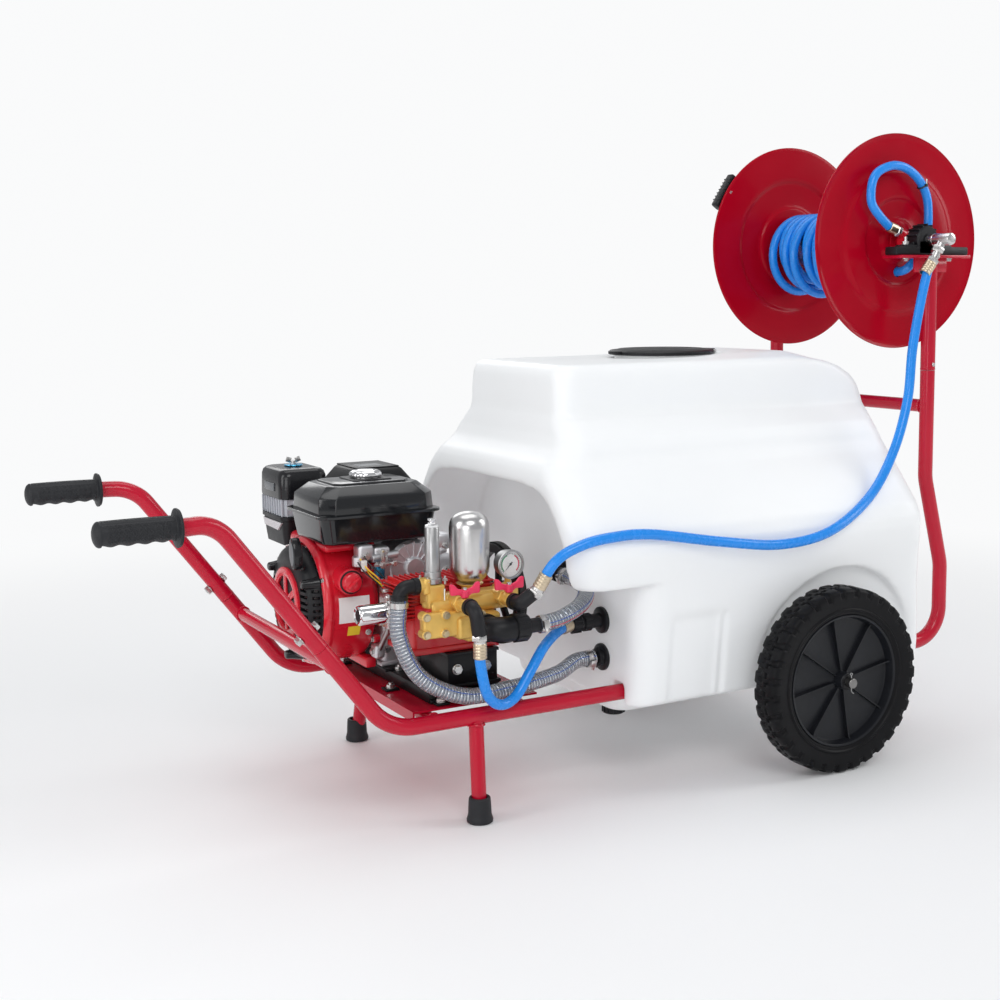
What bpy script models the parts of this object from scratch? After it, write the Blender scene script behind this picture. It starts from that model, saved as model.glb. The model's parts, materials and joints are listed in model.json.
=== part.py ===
"""Wheeled sprayer cart: red tube frame on two wheels and two feet, petrol engine
driving a plunger pump by belt, moulded liquid tank and a hose reel on two posts.
Metres, +Z up, +X from the handles towards the reel, +Y to the left.  The world origin
is the centre of the bounding box on the ground; all coordinates are from the axle."""
import bpy
import bmesh
import math
from mathutils import Vector, Matrix

for ob in list(bpy.data.objects):
    bpy.data.objects.remove(ob, do_unlink=True)

# ------------------------------------------------------------ driving dimensions
AXLE_X = 0.3997                     # axle's place from the world origin
GAP = 0.0003                        # clearance between touching pieces
SIDES = (("left", 1.0), ("right", -1.0))
ALONG_X, ALONG_Y, UP = (1, 0, 0), (0, 1, 0), (0, 0, 1)

WHEEL_R, WHEEL_W, WHEEL_Y = 0.180, 0.062, 0.380
RIM_R = 0.1285
AXLE_R, AXLE_END = 0.010, 0.430

TUBE_R = 0.015
RAIL_Y, RAIL_Z = 0.246, 0.181
RAIL_BEND_X, RISER_X = -0.881, 0.402    # ends of the level run of each rail
LEG_X, LEG_R = -0.713, 0.0135
FOOT_X, FOOT_Y, FOOT_H = -0.7235, 0.2775, 0.045
JOIN_X, JOIN_Z = -1.001, 0.340      # handle coupling
HANDLE_Z, GRIP_Y = 0.566, 0.262
POST_X, POST_JOIN_Z, POST_TOP = 0.354, 0.756, 0.9895
SPIGOT_R, SOCKET_R, SOCKET_DEPTH = 0.010, 0.0107, 0.035
PLATE_TOP = 0.2003

CRANK_Y, CRANK_Z = 0.080, 0.353     # engine crankshaft
PUMP_Y, PUMP_Z = -0.130, 0.371      # pump shaft
CRANK_AXIS, PUMP_AXIS = (0, CRANK_Y, CRANK_Z), (0, PUMP_Y, PUMP_Z)
PULLEY_X0, PULLEY_X1 = -0.612, -0.592
BELT_X = (PULLEY_X0 + PULLEY_X1) / 2

LID_X, LID_R, TANK_TOP = -0.148, 0.108, 0.790
TANK_FACE = -0.415                  # lower tank wall facing the engine
TANK_WALL = 0.006
FITTING_X = TANK_FACE - GAP
DRAIN_X, DRAIN_Y = -0.33, -0.10
BYPASS_Y, BYPASS_Z = -0.195, 0.238
HOSE_R, CLEAR_R = 0.0095, 0.015

REEL_X, REEL_Z, DISC_Y = 0.333, 1.023, 0.172
REEL = (REEL_X, 0, REEL_Z)

# ------------------------------------------------------------ scene
parts = bpy.data.collections.new("wheeled_sprayer_cart")
cutters = bpy.data.collections.new("cutters")
bpy.context.scene.collection.children.link(parts)
bpy.context.scene.collection.children.link(cutters)
root = bpy.data.objects.new("cart_origin", None)
root.location = (AXLE_X, 0, 0)
parts.objects.link(root)


# ------------------------------------------------------------ materials
def material(name, color, roughness, metallic=0.0):
    mat = bpy.data.materials.new(name)
    mat.use_nodes = True
    shader = mat.node_tree.nodes["Principled BSDF"]
    shader.inputs["Base Color"].default_value = (*color, 1)
    shader.inputs["Roughness"].default_value = roughness
    shader.inputs["Metallic"].default_value = metallic
    mat.diffuse_color = (*color, 1)
    return mat


RED = material("red_paint", color=(0.45, 0.01, 0.02), roughness=0.25)
RED_CAST = material("red_casting", color=(0.55, 0.02, 0.02), roughness=0.4)
WHITE = material("white_polyethylene", color=(0.85, 0.86, 0.85), roughness=0.45)
BLACK = material("black_plastic", color=(0.02, 0.02, 0.022), roughness=0.45)
ENAMEL = material("black_enamel", color=(0.012, 0.012, 0.014), roughness=0.18)
RUBBER = material("rubber", color=(0.03, 0.03, 0.03), roughness=0.8)
BLUE = material("blue_hose", color=(0.01, 0.16, 0.62), roughness=0.35)
CLEAR = material("clear_hose", color=(0.55, 0.6, 0.63), roughness=0.2)
BRASS = material("brass", color=(0.72, 0.46, 0.12), roughness=0.35, metallic=1.0)
CHROME = material("chrome", color=(0.8, 0.8, 0.8), roughness=0.12, metallic=1.0)
STEEL = material("zinc_steel", color=(0.55, 0.55, 0.55), roughness=0.35, metallic=1.0)
ALU = material("cast_aluminium", color=(0.6, 0.6, 0.6), roughness=0.5, metallic=1.0)
KNOB = material("red_plastic", color=(0.75, 0.04, 0.10), roughness=0.4)


# ------------------------------------------------------------ solids
# Every solid made without a material is a boolean operand and goes to the cutters.
def add(name, mesh, mat, loc=(0, 0, 0)):
    ob = bpy.data.objects.new(name, mesh)
    ob.parent = root
    ob.location = loc
    if mat:
        parts.objects.link(ob)
        mesh.materials.append(mat)
    else:
        cutters.objects.link(ob)
        ob.hide_render = True
        ob.display_type = 'WIRE'
    return ob


def add_bmesh(name, bm, mat):
    mesh = bpy.data.meshes.new(name)
    bm.to_mesh(mesh)
    bm.free()
    return add(name, mesh, mat)


def box(name, low, high, mat=None, bevel=0.0):
    low, high = Vector(low), Vector(high)
    bm = bmesh.new()
    bmesh.ops.create_cube(bm, size=1.0)
    bmesh.ops.scale(bm, vec=high - low, verts=bm.verts)
    bmesh.ops.translate(bm, vec=(high + low) / 2, verts=bm.verts)
    if bevel:
        bmesh.ops.bevel(bm, geom=bm.edges, offset=bevel, segments=1,
                        affect='EDGES', profile=0.5)
    return add_bmesh(name, bm, mat)


def turn_to(axis):
    """Rotation taking +Z to the axis."""
    return Vector(UP).rotation_difference(Vector(axis).normalized()).to_matrix().to_4x4()


def cyl(name, start, end, radius, mat=None, n=16):
    start, end = Vector(start), Vector(end)
    bm = bmesh.new()
    bmesh.ops.create_cone(bm, cap_ends=True, segments=n, radius1=radius,
                          radius2=radius, depth=(end - start).length)
    place = Matrix.Translation((start + end) / 2) @ turn_to(end - start)
    bmesh.ops.transform(bm, matrix=place, verts=bm.verts)
    return add_bmesh(name, bm, mat)


def prism(name, outline, shift, mat=None):
    """Flat outline of 3D points swept along shift."""
    bm = bmesh.new()
    face = bm.faces.new([bm.verts.new(p) for p in outline])
    swept = bmesh.ops.extrude_face_region(bm, geom=[face])["geom"]
    bmesh.ops.translate(bm, vec=shift,
                        verts=[v for v in swept if isinstance(v, bmesh.types.BMVert)])
    bmesh.ops.recalc_face_normals(bm, faces=bm.faces)
    return add_bmesh(name, bm, mat)


def skin(name, rings, mat, closed=False):
    """Skin over rings of points, either capped at both ends or closed on itself."""
    bm = bmesh.new()
    rows = [[bm.verts.new(p) for p in ring] for ring in rings]
    following = rows[1:] + (rows[:1] if closed else [])
    for a, b in zip(rows, following):
        for i in range(len(a)):
            j = (i + 1) % len(a)
            bm.faces.new((a[i], a[j], b[j], b[i]))
    if not closed:
        bm.faces.new(rows[-1])
        bm.faces.new(rows[0][::-1])
    bmesh.ops.recalc_face_normals(bm, faces=bm.faces)
    return add_bmesh(name, bm, mat)


def rounded_outline(x0, x1, half_width, corner, steps):
    points = []
    y1 = half_width - corner
    for cx, cy, start in ((x1 - corner, y1, 0), (x0 + corner, y1, 90),
                          (x0 + corner, -y1, 180), (x1 - corner, -y1, 270)):
        for i in range(steps + 1):
            a = math.radians(start + 90 * i / steps)
            points.append((cx + corner * math.cos(a), cy + corner * math.sin(a)))
    return points


def loft(name, rows, steps=3, mat=None):
    """Capped skin over level outlines given as (z, low x, high x, half width, corner)."""
    rings = [[(x, y, z) for x, y in rounded_outline(x0, x1, half, corner, steps)]
             for z, x0, x1, half, corner in rows]
    return skin(name, rings, mat)


def baked(ob, name, mat, loc=(0, 0, 0)):
    """Replace a temporary object by its evaluated mesh, with the origin at loc."""
    bpy.context.view_layer.update()
    evaluated = ob.evaluated_get(bpy.context.evaluated_depsgraph_get())
    mesh = bpy.data.meshes.new_from_object(evaluated)
    mesh.transform(ob.matrix_world)
    mesh.transform(Matrix.Translation(-Vector(loc)))
    bm = bmesh.new()
    bm.from_mesh(mesh)
    bmesh.ops.remove_doubles(bm, verts=bm.verts, dist=0.00001)
    bmesh.ops.recalc_face_normals(bm, faces=bm.faces)
    bm.to_mesh(mesh)
    bm.free()
    data, kind = ob.data, ob.type
    bpy.data.objects.remove(ob, do_unlink=True)
    (bpy.data.meshes if kind == 'MESH' else bpy.data.curves).remove(data)
    mesh.materials.clear()
    return add(name, mesh, mat, loc)


def lathe(name, profile, centre, axis, mat, n, loc=(0, 0, 0)):
    """Profile of (radius, height) turned about an axis through centre.
    A profile that starts off the axis is closed into a ring."""
    mesh = bpy.data.meshes.new(name + "_profile")
    edges = [(i, i + 1) for i in range(len(profile) - 1)]
    if profile[0][0] > 1e-6:
        edges.append((len(profile) - 1, 0))
    mesh.from_pydata([(r, 0, h) for r, h in profile], edges, [])
    ob = bpy.data.objects.new(name + "_profile", mesh)
    bpy.context.scene.collection.objects.link(ob)
    screw = ob.modifiers.new("Screw", 'SCREW')
    screw.axis = 'Z'
    screw.steps = screw.render_steps = n
    screw.use_merge_vertices = True
    screw.merge_threshold = 0.00005
    screw.use_normal_calculate = True
    ob.matrix_world = Matrix.Translation(centre) @ turn_to(axis)
    return baked(ob, name, mat, loc)


def tube(name, path, radius, mat=None):
    curve = bpy.data.curves.new(name + "_path", 'CURVE')
    curve.dimensions = '3D'
    curve.bevel_depth = radius
    curve.bevel_resolution = 1
    curve.use_fill_caps = True
    spline = curve.splines.new('POLY')
    spline.points.add(len(path) - 1)
    for point, p in zip(spline.points, path):
        point.co = (*p, 1)
    ob = bpy.data.objects.new(name + "_path", curve)
    bpy.context.scene.collection.objects.link(ob)
    return baked(ob, name, mat)


def fillet(path, radii, n=3):
    """Round the inner corners of a path, by one radius or one for each corner."""
    path = [Vector(p) for p in path]
    if not isinstance(radii, list):
        radii = [radii] * (len(path) - 2)
    out = [path[0]]
    for before, corner, after, radius in zip(path, path[1:], path[2:], radii):
        a, b = (before - corner).normalized(), (after - corner).normalized()
        turn = math.pi - a.angle(b)
        reach = radius * math.tan(turn / 2)
        start, end = corner + a * reach, corner + b * reach
        centre = corner + (a + b).normalized() * (radius / math.cos(turn / 2))
        for k in range(n + 1):
            f = k / n
            arm = ((start - centre) * math.sin((1 - f) * turn)
                   + (end - centre) * math.sin(f * turn)) / math.sin(turn)
            out.append(centre + arm)
    out.append(path[-1])
    return out


def smooth(path, n=3):
    """Catmull-Rom points through a path."""
    path = [Vector(p) for p in path]
    ext = [path[0] * 2 - path[1]] + path + [path[-1] * 2 - path[-2]]
    out = []
    for a, b, c, d in zip(ext, ext[1:], ext[2:], ext[3:]):
        for k in range(n):
            t = k / n
            out.append(0.5 * ((2 * b) + (c - a) * t + (2 * a - 5 * b + 4 * c - d) * t * t
                              + (3 * b - a - 3 * c + d) * t ** 3))
    out.append(path[-1])
    return out


def boolean(ob, name, operation, others):
    for other in others:
        mod = ob.modifiers.new(name, 'BOOLEAN')
        mod.operation = operation
        mod.object = other


def join(ob, *others):
    boolean(ob, "join", 'UNION', others)


def cut(ob, *others):
    boolean(ob, "cut", 'DIFFERENCE', others)


def set_origin(ob, pos):
    """Put the object's origin on its joint."""
    ob.data.transform(Matrix.Translation(-Vector(pos)))
    ob.location = pos


# ------------------------------------------------------------ frame
# direction of the sloping rail end, down from the handle coupling
SLOPE = (Vector((RAIL_BEND_X, 0, RAIL_Z)) - Vector((JOIN_X, 0, JOIN_Z))).normalized()
CROSS_TUBES = (                     # x, z, radius
    (-0.9745, 0.305, 0.0125), (-0.79, 0.1825, 0.011),
    (-0.62, 0.1825, 0.011), (POST_X, 0.681, 0.0135))
PLATE_HALF_W = 0.228
PLATE = (                           # x, z: flat plate with a lip turned down at low x
    (-0.8265, 0.182), (-0.8230, 0.182), (-0.8230, 0.1967),
    (-0.578, 0.1967), (-0.578, PLATE_TOP), (-0.8265, PLATE_TOP))
GRIP = (                            # radius, x: hollow sleeve with a flange
    (0, -1.367), (0.014, -1.366), (0.0205, -1.358), (0.0200, -1.240),
    (0.031, -1.239), (0.031, -1.233), (TUBE_R + 0.0004, -1.232),
    (TUBE_R + 0.0004, -1.3575), (0, -1.3585))
FOOT = (                            # radius, z
    (0, FOOT_H), (0.0195, FOOT_H), (0.0205, 0.012), (0.0235, 0.004), (0.0235, 0), (0, 0))


def rail_path(y):
    return fillet([(JOIN_X, y, JOIN_Z), (RAIL_BEND_X, y, RAIL_Z), (RISER_X, y, RAIL_Z),
                   (RISER_X, y, 0.345), (POST_X, y, 0.530), (POST_X, y, POST_JOIN_Z)],
                  [0.10, 0.07, 0.10, 0.10])


def leg_line(s):
    """Ground point of a leg and its top on the rail."""
    return Vector((FOOT_X, s * FOOT_Y, 0.0)), Vector((LEG_X, s * RAIL_Y, RAIL_Z))


def build_frame():
    frame = tube("welded_frame", rail_path(RAIL_Y), TUBE_R, RED)
    join(frame, tube("rail_right", rail_path(-RAIL_Y), TUBE_R))
    for x, z, r in CROSS_TUBES:
        join(frame, cyl("cross_tube", (x, -RAIL_Y, z), (x, RAIL_Y, z), r, n=12))
    for side, s in SIDES:
        low, top = leg_line(s)
        join(frame, cyl("leg_" + side, top, low + (top - low) * 0.10, LEG_R, n=14))
    for side, s in SIDES:
        for name, mouth, inward in (
                ("handle", Vector((JOIN_X, s * RAIL_Y, JOIN_Z)), SLOPE),
                ("post", Vector((POST_X, s * RAIL_Y, POST_JOIN_Z)), Vector((0, 0, -1)))):
            cut(frame, cyl(f"{name}_socket_{side}", mouth - inward * 0.01,
                           mouth + inward * SOCKET_DEPTH, SOCKET_R, n=10))
    cut(frame, cyl("axle_hole", (0, -0.3, WHEEL_R), (0, 0.3, WHEEL_R), AXLE_R + 0.0008))


def build_engine_plate():
    prism("engine_plate", [(x, -PLATE_HALF_W, z) for x, z in PLATE],
          (0, 2 * PLATE_HALF_W, 0), RED)


def build_handle(side, s):
    end = Vector((JOIN_X, s * RAIL_Y, JOIN_Z)) - SLOPE * GAP
    path = fillet([(-1.3568, s * GRIP_Y, HANDLE_Z), (-1.222, s * GRIP_Y, HANDLE_Z),
                   (-1.172, s * 0.247, HANDLE_Z), end], [0.03, 0.07])
    handle = tube("handle_" + side, path, TUBE_R, RED)
    across = Vector((-SLOPE.z, 0, SLOPE.x))
    bolt = end - SLOPE * 0.035
    join(handle,
         cyl("spigot_" + side, end - SLOPE * 0.004, end + SLOPE * 0.030, SPIGOT_R, n=12),
         cyl("bolt_" + side, bolt - across * 0.026, bolt + across * 0.024, 0.004, n=8),
         cyl("bolt_head_" + side, bolt + across * 0.0245, bolt + across * 0.0145, 0.008, n=6))
    lathe("grip_" + side, GRIP, (0, s * GRIP_Y, HANDLE_Z), ALONG_X, RUBBER, n=16)


def build_foot(side, s):
    foot = lathe("foot_" + side, FOOT, (FOOT_X, s * FOOT_Y, 0), UP, RUBBER, n=18)
    low, top = leg_line(s)
    cut(foot, cyl("foot_socket_" + side, low + (top - low) * 0.098,
                  low + (top - low) * 0.6, LEG_R + 0.0004, n=14))


def build_reel_post(side, s):
    y = s * RAIL_Y
    post = cyl("reel_post_" + side, (POST_X, y, POST_JOIN_Z + GAP), (POST_X, y, POST_TOP),
               TUBE_R, RED, n=12)
    y0, y1 = sorted((s * 0.213, s * 0.272))
    join(post,
         cyl("post_spigot_" + side, (POST_X, y, POST_JOIN_Z - 0.03),
             (POST_X, y, POST_JOIN_Z + 0.005), SPIGOT_R, n=12),
         box("bracket_" + side, (0.253, y0, 0.9865), (0.443, y1, 0.9925)))


# ------------------------------------------------------------ wheels
HALF_W = WHEEL_W / 2
BORE_R = AXLE_R + 0.0006
TYRE = (                            # radius, distance outward from mid wheel
    (RIM_R, HALF_W - 0.005), (0.168, HALF_W), (WHEEL_R, HALF_W - 0.014),
    (WHEEL_R, -HALF_W + 0.014), (0.168, -HALF_W), (RIM_R, -HALF_W + 0.005))
RIM = (                             # same columns
    (BORE_R, 0.034), (0.030, 0.034), (0.034, 0.004), (0.110, 0.004),
    (RIM_R - GAP, 0.025), (RIM_R - GAP, -0.025), (0.110, -0.004),
    (0.034, -0.004), (0.030, -0.030), (BORE_R, -0.030))


def build_axle():
    axle = cyl("axle", (0, -AXLE_END, WHEEL_R), (0, AXLE_END, WHEEL_R), AXLE_R, STEEL, n=14)
    for side, s in SIDES:
        join(axle,
             cyl("washer_" + side, (0, s * 0.4145, WHEEL_R), (0, s * 0.417, WHEEL_R),
                 0.019, n=14),
             cyl("cotter_" + side, (0, s * 0.423, WHEEL_R - 0.018),
                 (0, s * 0.423, WHEEL_R + 0.018), 0.0018, n=8))


def build_wheel(side, s):
    hub = (0, s * WHEEL_Y, WHEEL_R)
    lathe("tyre_" + side, TYRE, hub, (0, s, 0), RUBBER, n=28, loc=hub)
    lathe("rim_" + side, RIM, hub, (0, s, 0), BLACK, n=28, loc=hub)


# ------------------------------------------------------------ tank
SHELL = (                           # z, low x, high x, half width, corner radius
    (0.165, TANK_FACE, 0.298, 0.308, 0.040), (0.200, TANK_FACE, 0.300, 0.312, 0.044),
    (0.320, TANK_FACE, 0.286, 0.326, 0.048), (0.399, TANK_FACE, 0.276, 0.342, 0.050),
    (0.401, -0.545, 0.275, 0.345, 0.050), (0.412, -0.558, 0.274, 0.348, 0.052),
    (0.465, -0.560, 0.267, 0.358, 0.058), (0.500, -0.558, 0.262, 0.344, 0.060),
    (0.553, -0.560, 0.255, 0.305, 0.060), (0.590, -0.557, 0.252, 0.271, 0.055),
    (0.612, -0.545, 0.250, 0.254, 0.052), (0.632, -0.518, 0.249, 0.243, 0.050),
    (0.660, -0.508, 0.245, 0.222, 0.045), (0.690, -0.504, 0.245, 0.196, 0.040),
    (0.740, -0.500, 0.225, 0.190, 0.040), (0.772, -0.498, 0.170, 0.185, 0.038),
    (TANK_TOP, -0.485, 0.070, 0.170, 0.034))
SUMP = (                            # same columns, as for the two hollows below
    (0.120, -0.380, -0.070, 0.190, 0.030), (0.135, -0.392, -0.058, 0.203, 0.035),
    (0.26, -0.392, -0.058, 0.203, 0.035))
SUMP_HOLLOW = (
    (0.1265, -0.374, -0.076, 0.184, 0.028), (0.25, -0.386, -0.064, 0.197, 0.03))
LOW_HOLLOW = (
    (0.2055, TANK_FACE + TANK_WALL, 0.2895, 0.3055, 0.034),
    (0.300, TANK_FACE + TANK_WALL, 0.2780, 0.3110, 0.034),
    (0.4405, TANK_FACE + TANK_WALL, 0.2610, 0.3110, 0.034))
BAY_ARCH = (                        # y, z: right half of the engine bay's arch
    (-0.308, 0.30), (-0.308, 0.430), (-0.300, 0.462), (-0.277, 0.496),
    (-0.253, 0.530), (-0.224, 0.556), (-0.190, 0.568), (-0.120, 0.574))
BAY_WALL_ARCH = (                   # y, z: the same arch grown by the wall over it
    (-0.3150, 0.30), (-0.3150, 0.4320), (-0.3065, 0.4645), (-0.2830, 0.5005),
    (-0.2580, 0.5355), (-0.2280, 0.5622), (-0.1920, 0.5745), (-0.1200, 0.5805))
BAY_X = -0.70                       # low end of the arch prisms, clear of the tank


def vault(name, half, x1):
    """Prism along x whose section is a symmetric arch."""
    outline = half + tuple((-y, z) for y, z in reversed(half))
    return prism(name, [(BAY_X, y, z) for y, z in outline], (x1 - BAY_X, 0, 0))


def hollow_nose():
    """Space inside the tank's overhang over the engine, less the bay and its wall."""
    rows = [(z, x0 + 0.0075, TANK_FACE + 0.020, half - 0.0075, 0.045)
            for z, x0, x1, half, corner in SHELL if 0.405 < z < 0.60]
    rows.append((0.622, -0.5235, TANK_FACE + 0.020, 0.2405, 0.040))
    nose = loft("hollow_nose", rows)
    cut(nose, vault("bay_skin", BAY_WALL_ARCH, TANK_FACE + 0.0075))
    return nose


def hollow_top():
    wall = TANK_WALL
    rows = [(z, x0 + wall, x1 - wall - (0.006 if z > 0.7 else 0), half - wall - 0.002,
             corner - wall)
            for z, x0, x1, half, corner in SHELL if 0.60 < z < 0.78]
    rows.append((TANK_TOP - wall, -0.477, 0.055, 0.160, 0.028))
    return loft("hollow_top", rows)


def hollow_mid():
    wall = TANK_WALL
    return loft("hollow_mid", [
        (z, TANK_FACE + 0.014, x1 - wall - 0.003, half - wall - 0.004, 0.04)
        for z, x0, x1, half, corner in SHELL if 0.395 < z < 0.63 and z != 0.401])


def rail_groove(side, s):
    return box("groove_" + side, (-0.6, s * RAIL_Y - 0.0175, 0.10),
               (0.6, s * RAIL_Y + 0.0175, 0.1985))


def wheel_arch(side, s):
    return cyl("arch_" + side, (0.055, s * 0.318, 0.190), (0.055, s * 0.420, 0.190),
               0.195, n=28)


def build_tank():
    tank = loft("tank", SHELL, 2, WHITE)
    join(tank, loft("sump", SUMP),
         cyl("neck", (LID_X, 0, 0.775), (LID_X, 0, 0.796), 0.101, n=20))
    cut(tank, vault("engine_bay", BAY_ARCH, TANK_FACE))
    cut(tank, *[rail_groove(side, s) for side, s in SIDES])
    cut(tank, box("axle_notch", (-0.013, -0.4, 0.10), (0.013, 0.4, 0.1935)),
        hollow_top(), hollow_mid(), hollow_nose(), loft("hollow_low", LOW_HOLLOW))
    cut(tank, *[wheel_arch(side, s) for side, s in SIDES])
    cut(tank, loft("hollow_sump", SUMP_HOLLOW),
        cyl("filler", (LID_X, 0, 0.70), (LID_X, 0, 0.81), 0.0805, n=20),
        cyl("filler_ledge", (LID_X, 0, 0.7905), (LID_X, 0, 0.81), 0.091, n=20),
        cyl("drain_hole", (DRAIN_X, DRAIN_Y, 0.10), (DRAIN_X, DRAIN_Y, 0.14), 0.0125, n=14))


def build_lid():
    under = 0.7964
    profile = ((0, 0.8080), (0.085, 0.8080), (0.101, 0.8060), (LID_R, 0.8010),
               (LID_R, under), (0, under))
    lid = lathe("tank_lid", profile, (LID_X, 0, 0), UP, BLACK, n=20)
    hinge = (LID_X + LID_R + 0.004, 0, 0.8012)
    join(lid, box("hinge_lug", (LID_X + LID_R - 0.012, -0.03, under),
                  (hinge[0] + 0.005, 0.03, 0.806)))
    set_origin(lid, hinge)


def build_strainer():
    """Thin basket hung by its rim on the filler ledge."""
    profile = ((0, 0.7015), (0.0755, 0.7015), (0.0770, 0.7922), (0.0890, 0.7922),
               (0.0890, 0.7908), (0.0785, 0.7908), (0.0770, 0.700), (0, 0.700))
    lathe("strainer_basket", profile, (LID_X, 0, 0), UP, BLACK, n=20)


def build_drain_plug():
    seat = 0.1196
    profile = ((0, 0.130), (0.0119, 0.130), (0.0119, seat), (0.023, seat),
               (0.023, 0.100), (0.020, 0.093), (0, 0.093))
    lathe("drain_plug", profile, (DRAIN_X, DRAIN_Y, 0), UP, BLACK, n=16,
          loc=(DRAIN_X, DRAIN_Y, seat))


def build_tank_fittings():
    y, z, bend_x = -0.050, 0.380, -0.4385
    path = fillet([(FITTING_X - 0.004, y, z), (bend_x, y, z), (bend_x, -0.092, z)], 0.015)
    suction = tube("suction_fitting", path, 0.0125, BLACK)
    join(suction, cyl("suction_flange", (FITTING_X, y, z), (FITTING_X - 0.008, y, z),
                      0.026, n=18))
    y, z = BYPASS_Y, BYPASS_Z
    bypass = cyl("bypass_fitting", (FITTING_X, y, z), (FITTING_X - 0.008, y, z),
                 0.025, BLACK, n=18)
    join(bypass, cyl("bypass_barb", (FITTING_X - 0.004, y, z), (FITTING_X - 0.030, y, z),
                     0.0115, n=14))


# ------------------------------------------------------------ engine
SHROUD = (                          # radius, x
    (0.030, -0.7905), (0.084, -0.7905), (0.089, -0.806), (0.112, -0.808), (0.118, -0.814),
    (0.118, -0.906), (0.116, -0.910), (0.112, -0.910), (0.112, -0.816), (0.108, -0.812),
    (0.085, -0.810), (0.080, -0.795), (0.030, -0.795))
CRANKSHAFT = (                      # radius, x: shaft and the wheel inside the shroud
    (0, -0.572), (0.0125, -0.572), (0.0125, -0.842), (0.032, -0.842), (0.032, -0.846),
    (0.104, -0.846), (0.104, -0.872), (0.050, -0.872), (0.045, -0.885), (0, -0.885))
RECOIL_COVER = (                    # radius, x
    (0, -0.9345), (0.056, -0.9330), (0.098, -0.9250), (0.100, -0.9104), (0.107, -0.9104),
    (0.107, -0.9240), (0.098, -0.9310), (0.060, -0.9380), (0, -0.9385))


def build_mount():
    base = box("mount_base", (-0.790, -0.200, 0.2215), (-0.635, 0.190, 0.2280), BLACK)
    for name, x0, x1 in (("bar_front", -0.780, -0.745), ("bar_rear", -0.672, -0.637)):
        join(base, box(name, (x0, -0.196, PLATE_TOP + GAP), (x1, 0.186, 0.224)))
    join(base, box("pump_pedestal", (-0.740, -0.195, 0.225), (-0.640, -0.075, 0.286)))


def build_engine_block():
    block = box("engine_block", (-0.790, -0.012, 0.2283), (-0.632, 0.172, 0.435),
                ALU, bevel=0.010)
    join(block,
         box("cylinder", (-0.786, 0.10, 0.318), (-0.655, 0.285, 0.446), bevel=0.006),
         cyl("crank_boss", (-0.640, CRANK_Y, CRANK_Z), (-0.620, CRANK_Y, CRANK_Z),
             0.035, n=18))
    cut(block, cyl("crank_bore", (-0.85, CRANK_Y, CRANK_Z), (-0.55, CRANK_Y, CRANK_Z),
                   0.0133, n=20))


def build_flywheel_end():
    """Crankshaft, its shroud and the recoil starter at the handle end."""
    shroud = lathe("fan_shroud", SHROUD, CRANK_AXIS, ALONG_X, RED_CAST, n=22)
    join(shroud, box("switch_box", (-0.888, -0.058, 0.383), (-0.842, -0.029, 0.428)))
    lathe("crankshaft", CRANKSHAFT, CRANK_AXIS, ALONG_X, STEEL, n=20,
          loc=(-0.70, CRANK_Y, CRANK_Z))
    lathe("recoil_cover", RECOIL_COVER, CRANK_AXIS, ALONG_X, BLACK, n=20)
    handle = box("recoil_handle", (-0.953, -0.002, 0.426), (-0.9345, 0.026, 0.484),
                 BLACK, bevel=0.006)
    set_origin(handle, (-0.944, 0.012, 0.455))


def build_fuel_tank():
    x, y, cap_seat = -0.790, 0.045, 0.5784
    tank = box("fuel_tank", (-0.913, -0.050, 0.480), (-0.683, 0.130, 0.578),
               ENAMEL, bevel=0.018)
    join(tank, box("tank_seam", (-0.920, -0.057, 0.5215), (-0.676, 0.137, 0.5265)))
    cut(tank,
        box("fuel_space", (-0.905, -0.042, 0.488), (-0.691, 0.122, 0.570), bevel=0.014),
        cyl("fuel_filler", (x, y, 0.55), (x, y, 0.60), 0.019))
    cap = ((0, 0.594), (0.024, 0.593), (0.029, 0.588), (0.029, cap_seat), (0, cap_seat))
    lathe("fuel_cap", cap, (x, y, 0), UP, CHROME, n=20, loc=(x, y, cap_seat))


def build_air_cleaner():
    cleaner = box("air_cleaner", (-0.900, 0.202, 0.432), (-0.800, 0.335, 0.585),
                  BLACK, bevel=0.008)
    join(cleaner, box("carburettor", (-0.845, 0.212, 0.376), (-0.7868, 0.268, 0.440),
                      bevel=0.004))
    seat = (-0.850, 0.268, 0.5853)
    nut = cyl("air_cleaner_nut", seat, (-0.850, 0.268, 0.594), 0.010, STEEL, n=10)
    join(nut, box("nut_wings", (-0.868, 0.2665, 0.590), (-0.832, 0.2695, 0.604)))
    set_origin(nut, seat)


def build_muffler():
    muffler = box("muffler", (-0.775, 0.152, 0.460), (-0.640, 0.300, 0.585),
                  STEEL, bevel=0.012)
    join(muffler, cyl("exhaust_stub", (-0.71, 0.22, 0.4463), (-0.71, 0.22, 0.47),
                      0.016, n=14))
    cut(muffler, box("muffler_space", (-0.768, 0.159, 0.467), (-0.647, 0.293, 0.578)),
        cyl("outlet_hole", (-0.69, 0.28, 0.53), (-0.69, 0.31, 0.53), 0.009, n=12))


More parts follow.
